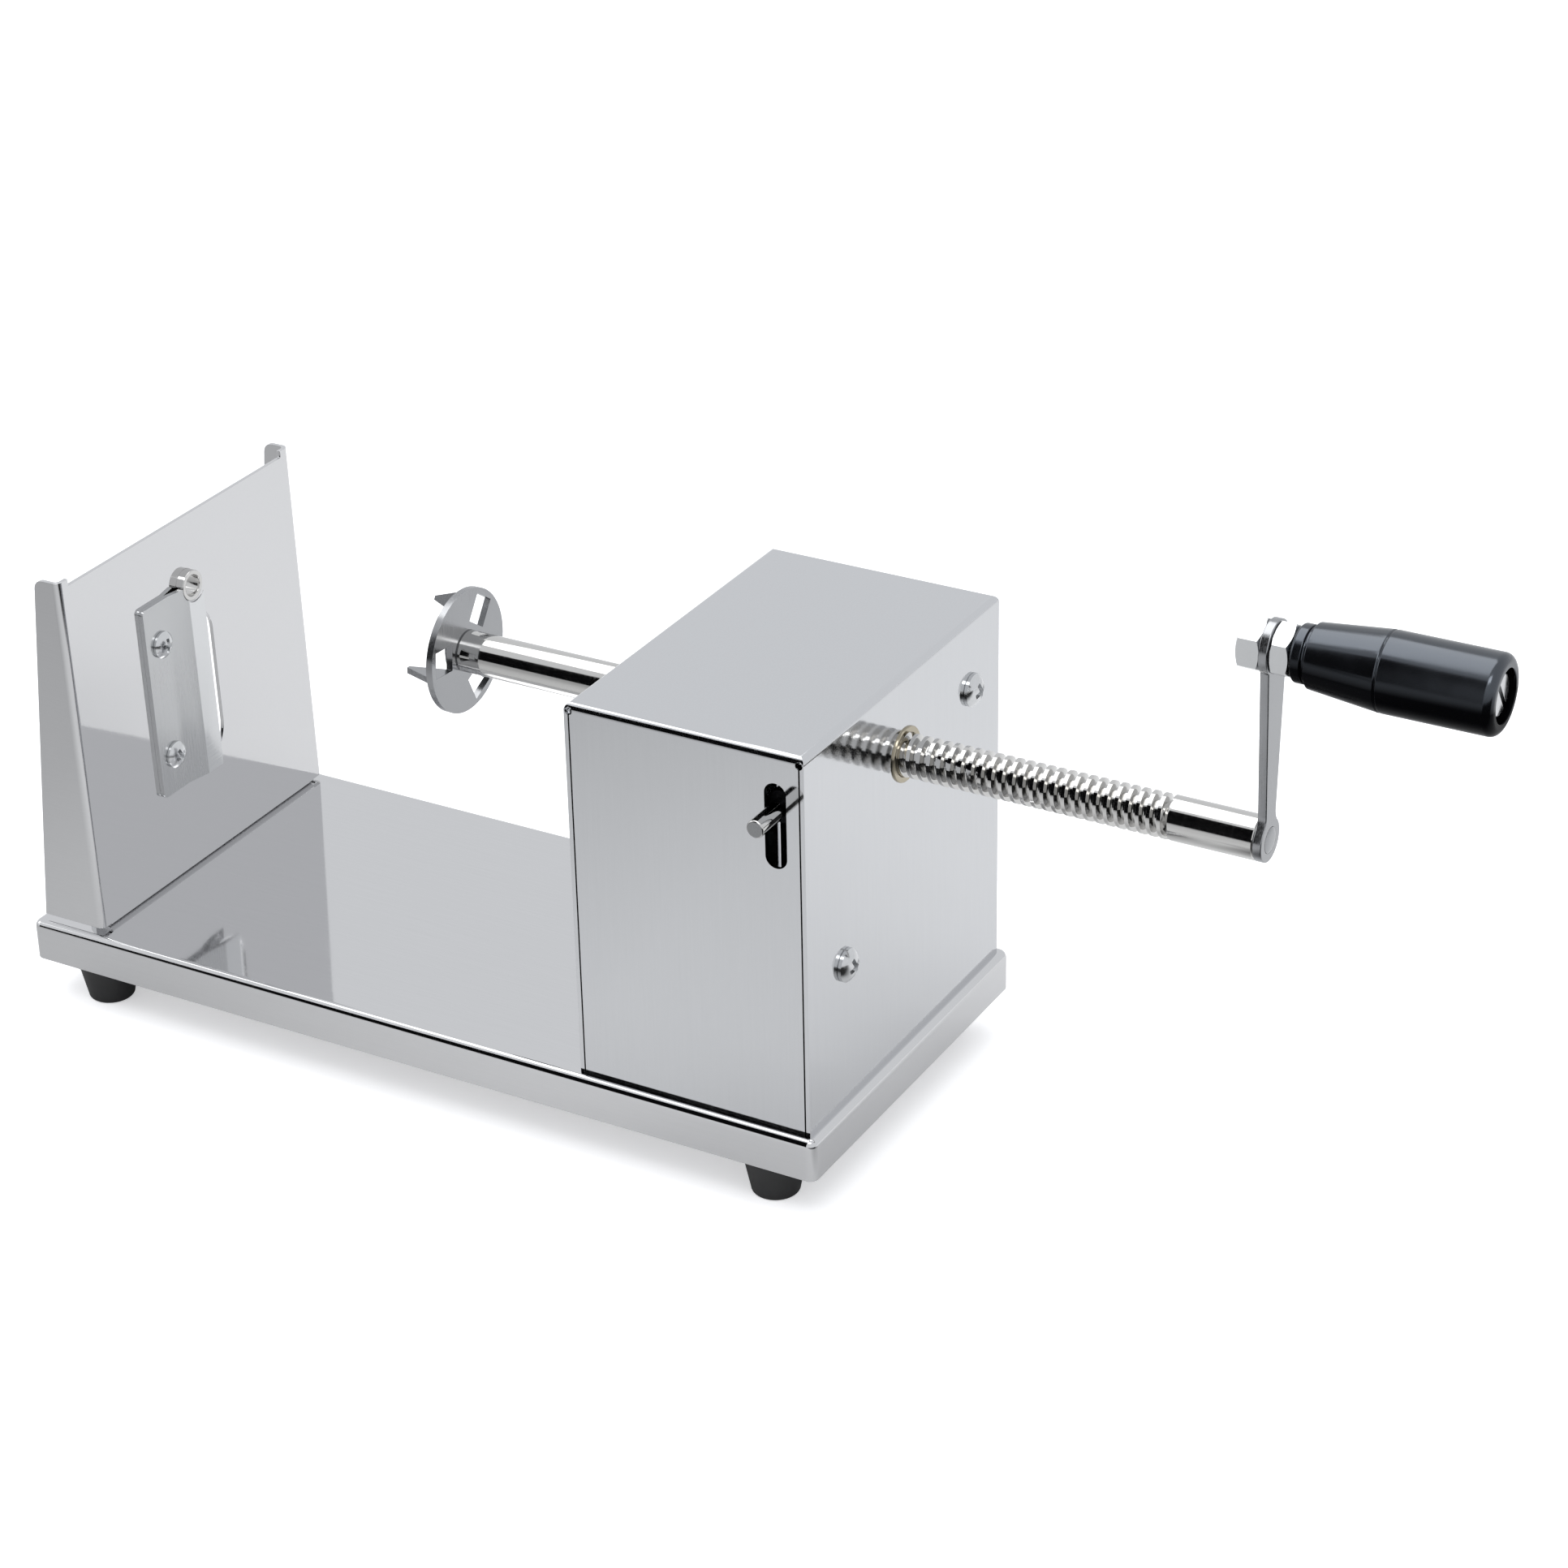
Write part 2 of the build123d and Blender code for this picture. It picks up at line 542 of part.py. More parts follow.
with BuildPart() as housing_nuts:
    with Locations(*housing_screw_spots(FOOT_NUT_Z)):
        add(hexagon_nut(M4["flats"], M4["nut"], M4["shank"]))
housing_nuts.part.label = "housing_nuts"
export_step(housing_nuts.part, "parts/housing_nuts.step")


def flanged_bush(outside, inward):
    """A bush with its rim out of the wall at outside and its flange on the wall's inner side."""
    rim = outside - inward * BUSH_PROUD
    inside = outside + inward * SHEET
    with BuildPart(mode=Mode.PRIVATE) as bush:
        with BuildSketch(square_to_spindle(rim, SPIN_Y, SPIN_Z)):
            Circle(BUSH_RIM_RADIUS)
            Circle(ROD_RADIUS + FIT, mode=Mode.SUBTRACT)
        extrude(amount=inside - rim)
        with BuildSketch(square_to_spindle(inside, SPIN_Y, SPIN_Z)):
            Circle(BUSH_FLANGE_RADIUS)
            Circle(ROD_RADIUS + FIT, mode=Mode.SUBTRACT)
        extrude(amount=inward * BUSH_FLANGE)
    return bush.part


with BuildPart() as left_bush:
    add(flanged_bush(LEFT_FACE, 1))
left_bush.part.label = "left_bush"
export_step(left_bush.part, "parts/left_bush.step")

with BuildPart() as right_bush:
    add(flanged_bush(RIGHT_FACE, -1))
right_bush.part.label = "right_bush"
export_step(right_bush.part, "parts/right_bush.step")

# ---- Release lever and its pivot -------------------------------------------------------------

SHOULDER_END = LEVER_RIGHT + GAP
SLEEVE_END = LEVER_LEFT - GAP
with BuildPart() as pivot_sleeve:
    with BuildSketch(square_to_spindle(SHOULDER_END)):
        with Locations(PIVOT):
            Circle(SLEEVE_SHOULDER_RADIUS)
            Circle(M5["shank"] + FIT, mode=Mode.SUBTRACT)
    extrude(amount=RIGHT_INSIDE - SHOULDER_END)
    with BuildSketch(square_to_spindle(SLEEVE_END)):
        with Locations(PIVOT):
            Circle(SLEEVE_RADIUS)
            Circle(M5["shank"] + FIT, mode=Mode.SUBTRACT)
    extrude(amount=SHOULDER_END - SLEEVE_END)
pivot_sleeve.part.label = "pivot_sleeve"
export_step(pivot_sleeve.part, "parts/pivot_sleeve.step")

with BuildPart() as pivot_screw:
    with Locations(square_to_spindle(RIGHT_FACE, *PIVOT)):
        add(pan_screw(M5, RIGHT_FACE - SLEEVE_END + M5["nut"] + SCREW_TIP))
pivot_screw.part.label = "pivot_screw"
export_step(pivot_screw.part, "parts/pivot_screw.step")

with BuildPart() as pivot_nut:
    with Locations(square_to_spindle(SLEEVE_END - M5["nut"], *PIVOT)):
        add(hexagon_nut(M5["flats"], M5["nut"], M5["shank"]))
pivot_nut.part.label = "pivot_nut"
export_step(pivot_nut.part, "parts/pivot_nut.step")

# The lever's bends, from its pivot under the spindle to the finger pin's boss
LEVER_PATH = [
    PIVOT,
    (SPIN_Y + LEVER_LOW_FAR, SPIN_Z - LEVER_LOW_DROP),
    (SPIN_Y - LEVER_LOW_NEAR, SPIN_Z - LEVER_LOW_DROP),
    (TRAY_NEAR + LEVER_RISE_Y, SPIN_Z + LEVER_RISE),
    (BOSS_FACE + LEVER_WIDTH / 2, PIN_Z),
]
NUT_SCREW_REACH = NUT_BLOCK_WIDTH / 2 - NUT_SCREW_MARGIN
NUT_SCREW_SPOTS = [(SPIN_Y + side * NUT_SCREW_REACH, SPIN_Z - NUT_SCREW_DROP) for side in (-1, 1)]
with BuildPart() as release_lever:
    with BuildSketch(square_to_spindle(LEVER_LEFT)):
        for start, end in zip(LEVER_PATH, LEVER_PATH[1:]):
            with Locations(((start[0] + end[0]) / 2, (start[1] + end[1]) / 2)):
                turn = degrees(atan2(end[1] - start[1], end[0] - start[0]))
                SlotCenterToCenter(dist(start, end), LEVER_WIDTH, rotation=turn)
        with Locations(PIVOT):
            Circle(LEVER_EYE_RADIUS)
        with Locations((SEAT[0], (LUG_Z + PIN_Z) / 2)):
            Rectangle(LUG_WIDTH, PIN_Z - LUG_Z)
        with Locations(PIVOT):
            Circle(SLEEVE_RADIUS + FIT, mode=Mode.SUBTRACT)
        with Locations(*NUT_SCREW_SPOTS):
            Circle(M4["shank"] + HOLE_CLEARANCE, mode=Mode.SUBTRACT)
    extrude(amount=LEVER_THICK)
    with BuildSketch(side_on(BOSS_FACE)):
        with Locations((LEVER_X, PIN_Z)):
            Circle(LEVER_BOSS_RADIUS)
    extrude(amount=-LEVER_BOSS_LENGTH)
    with BuildSketch(Plane.XY.offset(LUG_Z)):
        with Locations((LEVER_X, SEAT[0])):
            Rectangle(LUG_WIDTH, LUG_WIDTH)
    extrude(amount=LUG_THICK)
    with BuildSketch(Plane.XY.offset(LUG_Z)):
        with Locations((LEVER_X, SEAT[0])):
            Circle(SPIGOT_RADIUS)
    extrude(amount=-SPIGOT_LENGTH)
    with BuildSketch(side_on(BOSS_FACE)):
        with Locations((LEVER_X, PIN_Z)):
            Circle(PIN_RADIUS)
    extrude(amount=-PIN_DEPTH, mode=Mode.SUBTRACT)
release_lever.part.label = "release_lever"
export_step(release_lever.part, "parts/release_lever.step")

with BuildPart() as finger_pin:
    with BuildSketch(side_on(NEAR_WALL - PIN_PROUD)):
        with Locations((LEVER_X, PIN_Z)):
            Circle(PIN_RADIUS)
    extrude(amount=-(BOSS_FACE + PIN_DEPTH - NEAR_WALL + PIN_PROUD))
    fillet(finger_pin.faces().sort_by(Axis.Y)[0].edges(), PIN_TIP)
finger_pin.part.label = "finger_pin"
export_step(finger_pin.part, "parts/finger_pin.step")

with BuildPart() as half_nut:
    with BuildSketch(square_to_spindle(LEVER_LEFT, SPIN_Y, SPIN_Z)):
        with Locations((0, -(NUT_BLOCK_DEPTH + GAP) / 2)):
            Rectangle(NUT_BLOCK_WIDTH, NUT_BLOCK_DEPTH - GAP)
        Circle(ROD_RADIUS + GAP, mode=Mode.SUBTRACT)
    extrude(amount=-NUT_BLOCK_LENGTH)
    with BuildSketch(square_to_spindle(LEVER_LEFT)):
        with Locations(*NUT_SCREW_SPOTS):
            Circle(M4["shank"])
    extrude(amount=-NUT_SCREW_DEPTH, mode=Mode.SUBTRACT)
half_nut.part.label = "half_nut"
export_step(half_nut.part, "parts/half_nut.step")

with BuildPart() as half_nut_screws:
    with Locations(*[square_to_spindle(LEVER_RIGHT, y, z) for y, z in NUT_SCREW_SPOTS]):
        add(pan_screw(M4, LEVER_THICK + NUT_SCREW_DEPTH))
half_nut_screws.part.label = "half_nut_screws"
export_step(half_nut_screws.part, "parts/half_nut_screws.step")

# ---- Return spring and its seat --------------------------------------------------------------

with BuildPart() as spring_seat:
    shelf_under = SEAT[1] - SEAT_THICK
    with BuildSketch(side_on(SEAT[0])):
        leg_bottom = TRAY_TOP + SEAT_FOOT_HEIGHT
        Polygon(
            (RIGHT_INSIDE, leg_bottom),
            (RIGHT_INSIDE, SEAT[1]),
            (RIGHT_INSIDE - SEAT_REACH, SEAT[1]),
            (RIGHT_INSIDE - SEAT_REACH, shelf_under),
            (RIGHT_INSIDE - SEAT_THICK, shelf_under),
            (RIGHT_INSIDE - SEAT_THICK, leg_bottom),
            align=None,
        )
    extrude(amount=SEAT_WIDTH / 2, both=True)
    with BuildSketch(Plane.XY.offset(SEAT[1])):
        with Locations((LEVER_X, SEAT[0])):
            Circle(SPIGOT_RADIUS)
    extrude(amount=SPIGOT_LENGTH)
    with BuildSketch(square_to_spindle(RIGHT_INSIDE)):
        with Locations((SEAT[0], TRAY_TOP + SEAT_SCREW_HEIGHT)):
            Circle(M5["shank"] + HOLE_CLEARANCE)
    extrude(amount=-SEAT_THICK, mode=Mode.SUBTRACT)
spring_seat.part.label = "spring_seat"
export_step(spring_seat.part, "parts/spring_seat.step")

SEAT_NUT_FACE = RIGHT_INSIDE - SEAT_THICK
SEAT_SCREW = (SEAT[0], TRAY_TOP + SEAT_SCREW_HEIGHT)
with BuildPart() as seat_screw:
    with Locations(square_to_spindle(RIGHT_FACE, *SEAT_SCREW)):
        add(pan_screw(M5, RIGHT_FACE - SEAT_NUT_FACE + M5["nut"] + SCREW_TIP))
seat_screw.part.label = "seat_screw"
export_step(seat_screw.part, "parts/seat_screw.step")

with BuildPart() as seat_nut:
    with Locations(square_to_spindle(SEAT_NUT_FACE - M5["nut"], *SEAT_SCREW)):
        add(hexagon_nut(M5["flats"], M5["nut"], M5["shank"]))
seat_nut.part.label = "seat_nut"
export_step(seat_nut.part, "parts/seat_nut.step")

SPRING_START = SEAT[1] + SPRING_WIRE_RADIUS + GAP
SPRING_END = LUG_Z - SPRING_WIRE_RADIUS - GAP
SPRING_RISE = (SPRING_END - SPRING_START) / SPRING_TURNS  # in one turn


def spring_point(turns):
    """A point on the spring's middle line, and the direction in which it climbs there."""
    angle = 2 * pi * turns
    point = Vector(
        LEVER_X + SPRING_RADIUS * cos(angle),
        SEAT[0] + SPRING_RADIUS * sin(angle),
        SPRING_START + SPRING_RISE * turns,
    )
    climb = Vector(-SPRING_RADIUS * sin(angle), SPRING_RADIUS * cos(angle), SPRING_RISE / (2 * pi))
    return point, climb.normalized()


def biarc(first, second):
    """Two arcs that join two points and are tangent to the directions given at both."""
    (start, leave), (end, arrive) = first, second
    chord, both = end - start, leave + arrive
    spread = 2 * (1 - leave.dot(arrive))
    along = chord.dot(both)
    reach = (sqrt(along * along + spread * chord.dot(chord)) - along) / spread
    middle = (start + leave * reach + end - arrive * reach) / 2
    crossing = (end - arrive * reach) - (start + leave * reach)
    TangentArc(start, middle, tangent=leave)
    TangentArc(middle, end, tangent=crossing)


with BuildPart() as return_spring:
    with BuildLine() as coil:
        for quarter in range(4 * SPRING_TURNS):
            biarc(spring_point(quarter / 4), spring_point((quarter + 1) / 4))
    start, climb = spring_point(0)
    with BuildSketch(Plane(start, x_dir=(1, 0, 0), z_dir=climb)):
        Circle(SPRING_WIRE_RADIUS)
    sweep(path=coil.wire())
return_spring.part.label = "return_spring"
export_step(return_spring.part, "parts/return_spring.step")
print("return_spring least gap to itself", round(SPRING_RISE - 2 * SPRING_WIRE_RADIUS, 2))

# ---- Feed rod, drive disc and ring -----------------------------------------------------------

RING_LEFT = DISC_FRONT - RING_SLACK - RING_THICK
GROOVE_LEFT = RING_LEFT - RING_SLACK
NOSE_LEFT = GROOVE_LEFT - NOSE_LENGTH
with BuildPart() as feed_rod:
    with BuildSketch(side_on(SPIN_Y, SPIN_Z)):
        Polygon(
            (NOSE_LEFT, CENTRE_RADIUS),
            (NOSE_LEFT, NECK_RADIUS - NOSE_CHAMFER),
            (NOSE_LEFT + NOSE_CHAMFER, NECK_RADIUS),
            (GROOVE_LEFT, NECK_RADIUS),
            (GROOVE_LEFT, RING_GROOVE_RADIUS),
            (DISC_FRONT, RING_GROOVE_RADIUS),
            (DISC_FRONT, NECK_RADIUS),
            (DISC_BACK, NECK_RADIUS),
            (DISC_BACK, ROD_RADIUS),
            (ARM_INNER, ROD_RADIUS),
            (ARM_INNER, TENON_RADIUS),
            (ARM_OUTER, TENON_RADIUS),
            (ARM_OUTER, 0),
            (NOSE_LEFT + CENTRE_DEPTH, 0),
            (NOSE_LEFT + CENTRE_DEPTH - CENTRE_RADIUS, CENTRE_RADIUS),
            align=None,
        )
    revolve(axis=SPIN_AXIS)
feed_rod.part.label = "feed_rod"
export_step(feed_rod.part, "parts/feed_rod.step")

with BuildPart() as drive_disc:
    with BuildSketch(square_to_spindle(DISC_FRONT, SPIN_Y, SPIN_Z)):
        Circle(DISC_RADIUS)
        Circle(NECK_RADIUS, mode=Mode.SUBTRACT)
        with PolarLocations((LANCE_INNER + LANCE_OUTER) / 2, PRONG_COUNT, start_angle=PRONG_ANGLE):
            Rectangle(LANCE_OUTER - LANCE_INNER, LANCE_SPAN, mode=Mode.SUBTRACT)
    extrude(amount=DISC_THICK)
    # Each prong is the metal of its window, bent forward along the window's side.
    for step in range(PRONG_COUNT):
        angle = radians(PRONG_ANGLE + 360 * step / PRONG_COUNT)
        outward = Vector(0, cos(angle), sin(angle))
        sideways = Vector(0, -sin(angle), cos(angle))
        root = Vector(DISC_BACK, SPIN_Y, SPIN_Z) + sideways * (LANCE_SPAN / 2)
        tip = (LANCE_INNER + LANCE_OUTER) / 2
        with BuildSketch(Plane(origin=root, x_dir=outward, z_dir=sideways)):
            Polygon(
                (LANCE_INNER, 0),
                (LANCE_OUTER, 0),
                (LANCE_OUTER, DISC_THICK),
                (tip + PRONG_TIP / 2, DISC_THICK + PRONG_LENGTH),
                (tip - PRONG_TIP / 2, DISC_THICK + PRONG_LENGTH),
                (LANCE_INNER, DISC_THICK),
                align=None,
            )
        extrude(amount=PRONG_THICK / 2, both=True)
drive_disc.part.label = "drive_disc"
export_step(drive_disc.part, "parts/drive_disc.step")

with BuildPart() as disc_ring:
    with BuildSketch(square_to_spindle(RING_LEFT, SPIN_Y, SPIN_Z)):
        Circle(RING_RADIUS)
        Circle(RING_GROOVE_RADIUS + RING_SLACK, mode=Mode.SUBTRACT)
        with Locations((0, -RING_RADIUS)):
            Rectangle(RING_OPENING, RING_RADIUS, mode=Mode.SUBTRACT)
    extrude(amount=RING_THICK)
disc_ring.part.label = "disc_ring"
export_step(disc_ring.part, "parts/disc_ring.step")

# ---- Crank arm, axle and grip ----------------------------------------------------------------

with BuildPart() as crank_arm:
    with BuildSketch(square_to_spindle(ARM_INNER, SPIN_Y, SPIN_Z)) as arm_outline:
        Polygon(
            (-ARM_FOOT_WIDTH / 2, 0),
            (ARM_FOOT_WIDTH / 2, 0),
            (ARM_HEAD_WIDTH / 2, CRANK_RADIUS),
            (-ARM_HEAD_WIDTH / 2, CRANK_RADIUS),
            align=None,
        )
        Circle(ARM_FOOT_RADIUS)
        fillet(arm_outline.vertices().group_by(Axis.Y)[0], ARM_NECK)
        with Locations((0, CRANK_RADIUS)):
            Circle(ARM_EYE_RADIUS)
            Circle(AXLE_RADIUS, mode=Mode.SUBTRACT)
        Circle(TENON_RADIUS, mode=Mode.SUBTRACT)
    extrude(amount=ARM_THICK)
crank_arm.part.label = "crank_arm"
export_step(crank_arm.part, "parts/crank_arm.step")

with BuildPart() as axle_nut:
    with Locations(square_to_spindle(ARM_INNER - AXLE_NUT, SPIN_Y, GRIP_Z)):
        add(hexagon_nut(AXLE_FLATS, AXLE_NUT, AXLE_RADIUS, corner=AXLE_NUT_CHAMFER))
axle_nut.part.label = "axle_nut"
export_step(axle_nut.part, "parts/axle_nut.step")

with BuildPart() as axle_collar:
    with Locations(square_to_spindle(ARM_OUTER, SPIN_Y, GRIP_Z)):
        add(hexagon_nut(AXLE_FLATS, AXLE_COLLAR, AXLE_RADIUS, corner=AXLE_NUT_CHAMFER))
axle_collar.part.label = "axle_collar"
export_step(axle_collar.part, "parts/axle_collar.step")

WELL_FLOOR = GRIP_RIGHT - GRIP_WELL
with BuildPart() as grip_axle:
    with BuildSketch(side_on(SPIN_Y, GRIP_Z)):
        head_left = WELL_FLOOR + GAP
        Polygon(
            (ARM_INNER - AXLE_NUT - SCREW_TIP, 0),
            (ARM_INNER - AXLE_NUT - SCREW_TIP, AXLE_RADIUS),
            (head_left, AXLE_RADIUS),
            (head_left, AXLE_HEAD_RADIUS),
            (head_left + AXLE_HEAD, AXLE_HEAD_RADIUS),
            (head_left + AXLE_HEAD, 0),
            align=None,
        )
    revolve(axis=GRIP_AXIS)
grip_axle.part.label = "grip_axle"
export_step(grip_axle.part, "parts/grip_axle.step")

with BuildPart() as grip:
    bore = AXLE_RADIUS + GRIP_BORE_CLEARANCE
    neck_left = GRIP_LEFT + GRIP_LIP
    cone_left = neck_left + GRIP_NECK
    cone_right = GRIP_LEFT + GRIP_CONE_END
    with BuildSketch(side_on(SPIN_Y, GRIP_Z)):
        with BuildLine():
            Polyline(
                (GRIP_RIGHT, GRIP_RADIUS - GRIP_EDGE),
                (GRIP_RIGHT, GRIP_WELL_RADIUS),
                (WELL_FLOOR, GRIP_WELL_RADIUS),
                (WELL_FLOOR, bore),
                (GRIP_LEFT, bore),
                (GRIP_LEFT, GRIP_NECK_RADIUS),
                (GRIP_LEFT + GRIP_NECK / 2, GRIP_LIP_RADIUS),
                (neck_left, GRIP_LIP_RADIUS),
                (neck_left, GRIP_NECK_RADIUS),
                (cone_left, GRIP_NECK_RADIUS),
                (cone_left, GRIP_NOSE_RADIUS),
                (cone_right - GRIP_PARTING / 2, GRIP_RADIUS),
                (cone_right, GRIP_RADIUS - GRIP_PARTING),
                (cone_right + GRIP_PARTING / 2, GRIP_RADIUS),
                (GRIP_RIGHT - GRIP_EDGE, GRIP_RADIUS),
            )
            edge_start = (GRIP_RIGHT - GRIP_EDGE, GRIP_RADIUS)
            TangentArc(edge_start, (GRIP_RIGHT, GRIP_RADIUS - GRIP_EDGE), tangent=(1, 0))
        make_face()
    revolve(axis=GRIP_AXIS)
grip.part.label = "grip"
export_step(grip.part, "parts/grip.step")
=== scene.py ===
"""Finishes, machined detail and a plain studio for a hand-cranked tornado potato cutter.

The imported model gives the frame. Each operator below finishes one piece or one group of like
pieces: sheet metal gets softened edges and a polished surface, and turned, threaded and screwed
pieces are built anew with their real threads, recesses and chamfers.
"""

import json
import math

import bmesh
import bpy
from mathutils import Matrix, Vector


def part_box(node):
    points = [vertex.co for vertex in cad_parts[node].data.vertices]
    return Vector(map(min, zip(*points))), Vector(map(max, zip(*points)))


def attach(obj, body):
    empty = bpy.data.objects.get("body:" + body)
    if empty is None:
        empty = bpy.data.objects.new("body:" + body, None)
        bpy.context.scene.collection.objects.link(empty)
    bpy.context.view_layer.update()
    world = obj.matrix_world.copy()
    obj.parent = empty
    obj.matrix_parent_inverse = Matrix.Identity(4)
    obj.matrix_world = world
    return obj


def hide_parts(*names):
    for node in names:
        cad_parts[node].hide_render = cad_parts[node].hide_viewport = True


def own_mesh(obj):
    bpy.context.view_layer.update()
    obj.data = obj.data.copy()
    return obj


bl_info = {
    "name": "Tornado Potato Cutter Finishes",
    "version": (1, 0, 0),
    "blender": (4, 5, 0),
    "location": "3D View > Sidebar > Cutter",
    "description": "Dresses the packed cutter with its finishes, threads and screws",
    "category": "Object",
}

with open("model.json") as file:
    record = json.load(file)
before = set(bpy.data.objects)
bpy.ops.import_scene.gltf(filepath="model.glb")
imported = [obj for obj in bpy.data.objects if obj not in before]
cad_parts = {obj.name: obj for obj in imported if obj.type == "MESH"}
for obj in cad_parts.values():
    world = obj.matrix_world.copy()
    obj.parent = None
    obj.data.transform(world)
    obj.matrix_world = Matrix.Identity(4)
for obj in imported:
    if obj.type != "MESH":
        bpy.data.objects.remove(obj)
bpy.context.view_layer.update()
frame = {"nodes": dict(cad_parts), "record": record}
MM = 0.001


# ---- Places read from the frame --------------------------------------------------------------


def middle(node):
    """The middle of a node's box."""
    low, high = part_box(node)
    return (low + high) / 2


ROD_LOW, ROD_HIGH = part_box("feed_rod")
SPINDLE = middle("feed_rod")
ROD_RADIUS = (ROD_HIGH.z - ROD_LOW.z) / 2
AXLE = middle("grip")
ARM_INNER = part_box("crank_arm")[0].x
ARM_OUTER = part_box("crank_arm")[1].x
DISC_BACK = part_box("drive_disc")[1].x
RING_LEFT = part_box("disc_ring")[0].x
# The bracket's plate leans 2.7 mm over its height of 108.7 mm.
PLATE_LEAN = math.atan2(2.7, 108.7)
PLATE_NORMAL = Vector((math.cos(PLATE_LEAN), 0, math.sin(PLATE_LEAN)))
FEED_PITCH = frame["record"]["behaviour"]["couplings"][0]["ratio"] * 2 * math.pi


# ---- Settings that a user would change -------------------------------------------------------


def linear(code):
    """A hex colour, as seen on a screen, in the linear values that shaders take."""
    parts = [int(code[i : i + 2], 16) / 255 for i in (1, 3, 5)]
    return tuple(p / 12.92 if p <= 0.04045 else ((p + 0.055) / 1.055) ** 2.4 for p in parts)


def length(name, description, default):
    """A length property, with its default given in millimetres."""
    return bpy.props.FloatProperty(
        name=name, description=description, default=default * MM, unit="LENGTH", precision=5
    )


def tint(name, description, code):
    """A colour property, with its default given as a hex colour."""
    return bpy.props.FloatVectorProperty(
        name=name, description=description, default=linear(code), subtype="COLOR", min=0, max=1
    )


class CutterSizes(bpy.types.PropertyGroup):
    """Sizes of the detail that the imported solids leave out."""

    thread_depth: length("Thread depth", "Depth of the feed thread's groove", 1.75)
    thread_run: length("Thread run-out", "Length over which the groove fades at its ends", 1.6)
    thread_length: length("Thread length", "Threaded stretch of the feed rod", 145.5)
    shank_length: length("Shank length", "Plain stretch between the thread and the arm", 23.4)
    sheet_edge: length("Sheet edge", "Width of the deburred edge of the sheet metal", 0.22)
    small_edge: length("Small edge", "Width of the broken edge on small pieces", 0.15)
    bevel: length("Blade bevel", "Width of the blade's ground bevel", 7.5)
    wire: length("Spring wire", "Radius of the return spring's wire", 0.6)


class CutterFinishes(bpy.types.PropertyGroup):
    """Colours of the finishes."""

    polished: tint("Polished sheet", "Mirror-polished stainless sheet", "#DADADB")
    satin: tint("Bright sheet", "Bright-annealed stainless sheet", "#D6D7D9")
    turned: tint("Turned steel", "Turned and polished stainless bar", "#D3D2D0")
    zinc: tint("Zinc plate", "Bright zinc on nuts and screws", "#DCDDDE")
    ground: tint("Ground blade", "Surface-ground blade steel", "#C4C5C6")
    bar: tint("Flat bar", "Plated flat steel of the crank arm and drive disc", "#A6A7A9")
    pressed: tint("Pressed steel", "Cold-rolled steel of the inner pieces", "#9C9D9E")
    wire: tint("Spring wire", "Drawn spring wire", "#85878A")
    bronze: tint("Bronze", "Turned bronze of the bushes", "#B9B09C")
    oxide: tint("Black oxide", "Blackened steel of the release lever", "#1C1C1E")
    rubber: tint("Rubber", "Moulded nitrile rubber", "#141415")
    plastic: tint("Plastic", "Moulded phenolic of the grip", "#040405")
    floor: tint("Floor", "Plain pale floor", "#F4F4F5")


# ---- Materials -------------------------------------------------------------------------------


def add(tree, kind, inputs=(), **settings):
    """Adds a node with its settings, and sets or links its inputs."""
    node = tree.nodes.new(kind)
    for key, value in settings.items():
        setattr(node, key, value)
    for key, value in dict(inputs).items():
        if isinstance(value, bpy.types.NodeSocket):
            tree.links.new(value, node.inputs[key])
        else:
            node.inputs[key].default_value = value
    return node


def blank(name):
    """A new node material with its tree emptied."""
    material = bpy.data.materials.new(name)
    material.use_nodes = True
    material.node_tree.nodes.clear()
    return material, material.node_tree


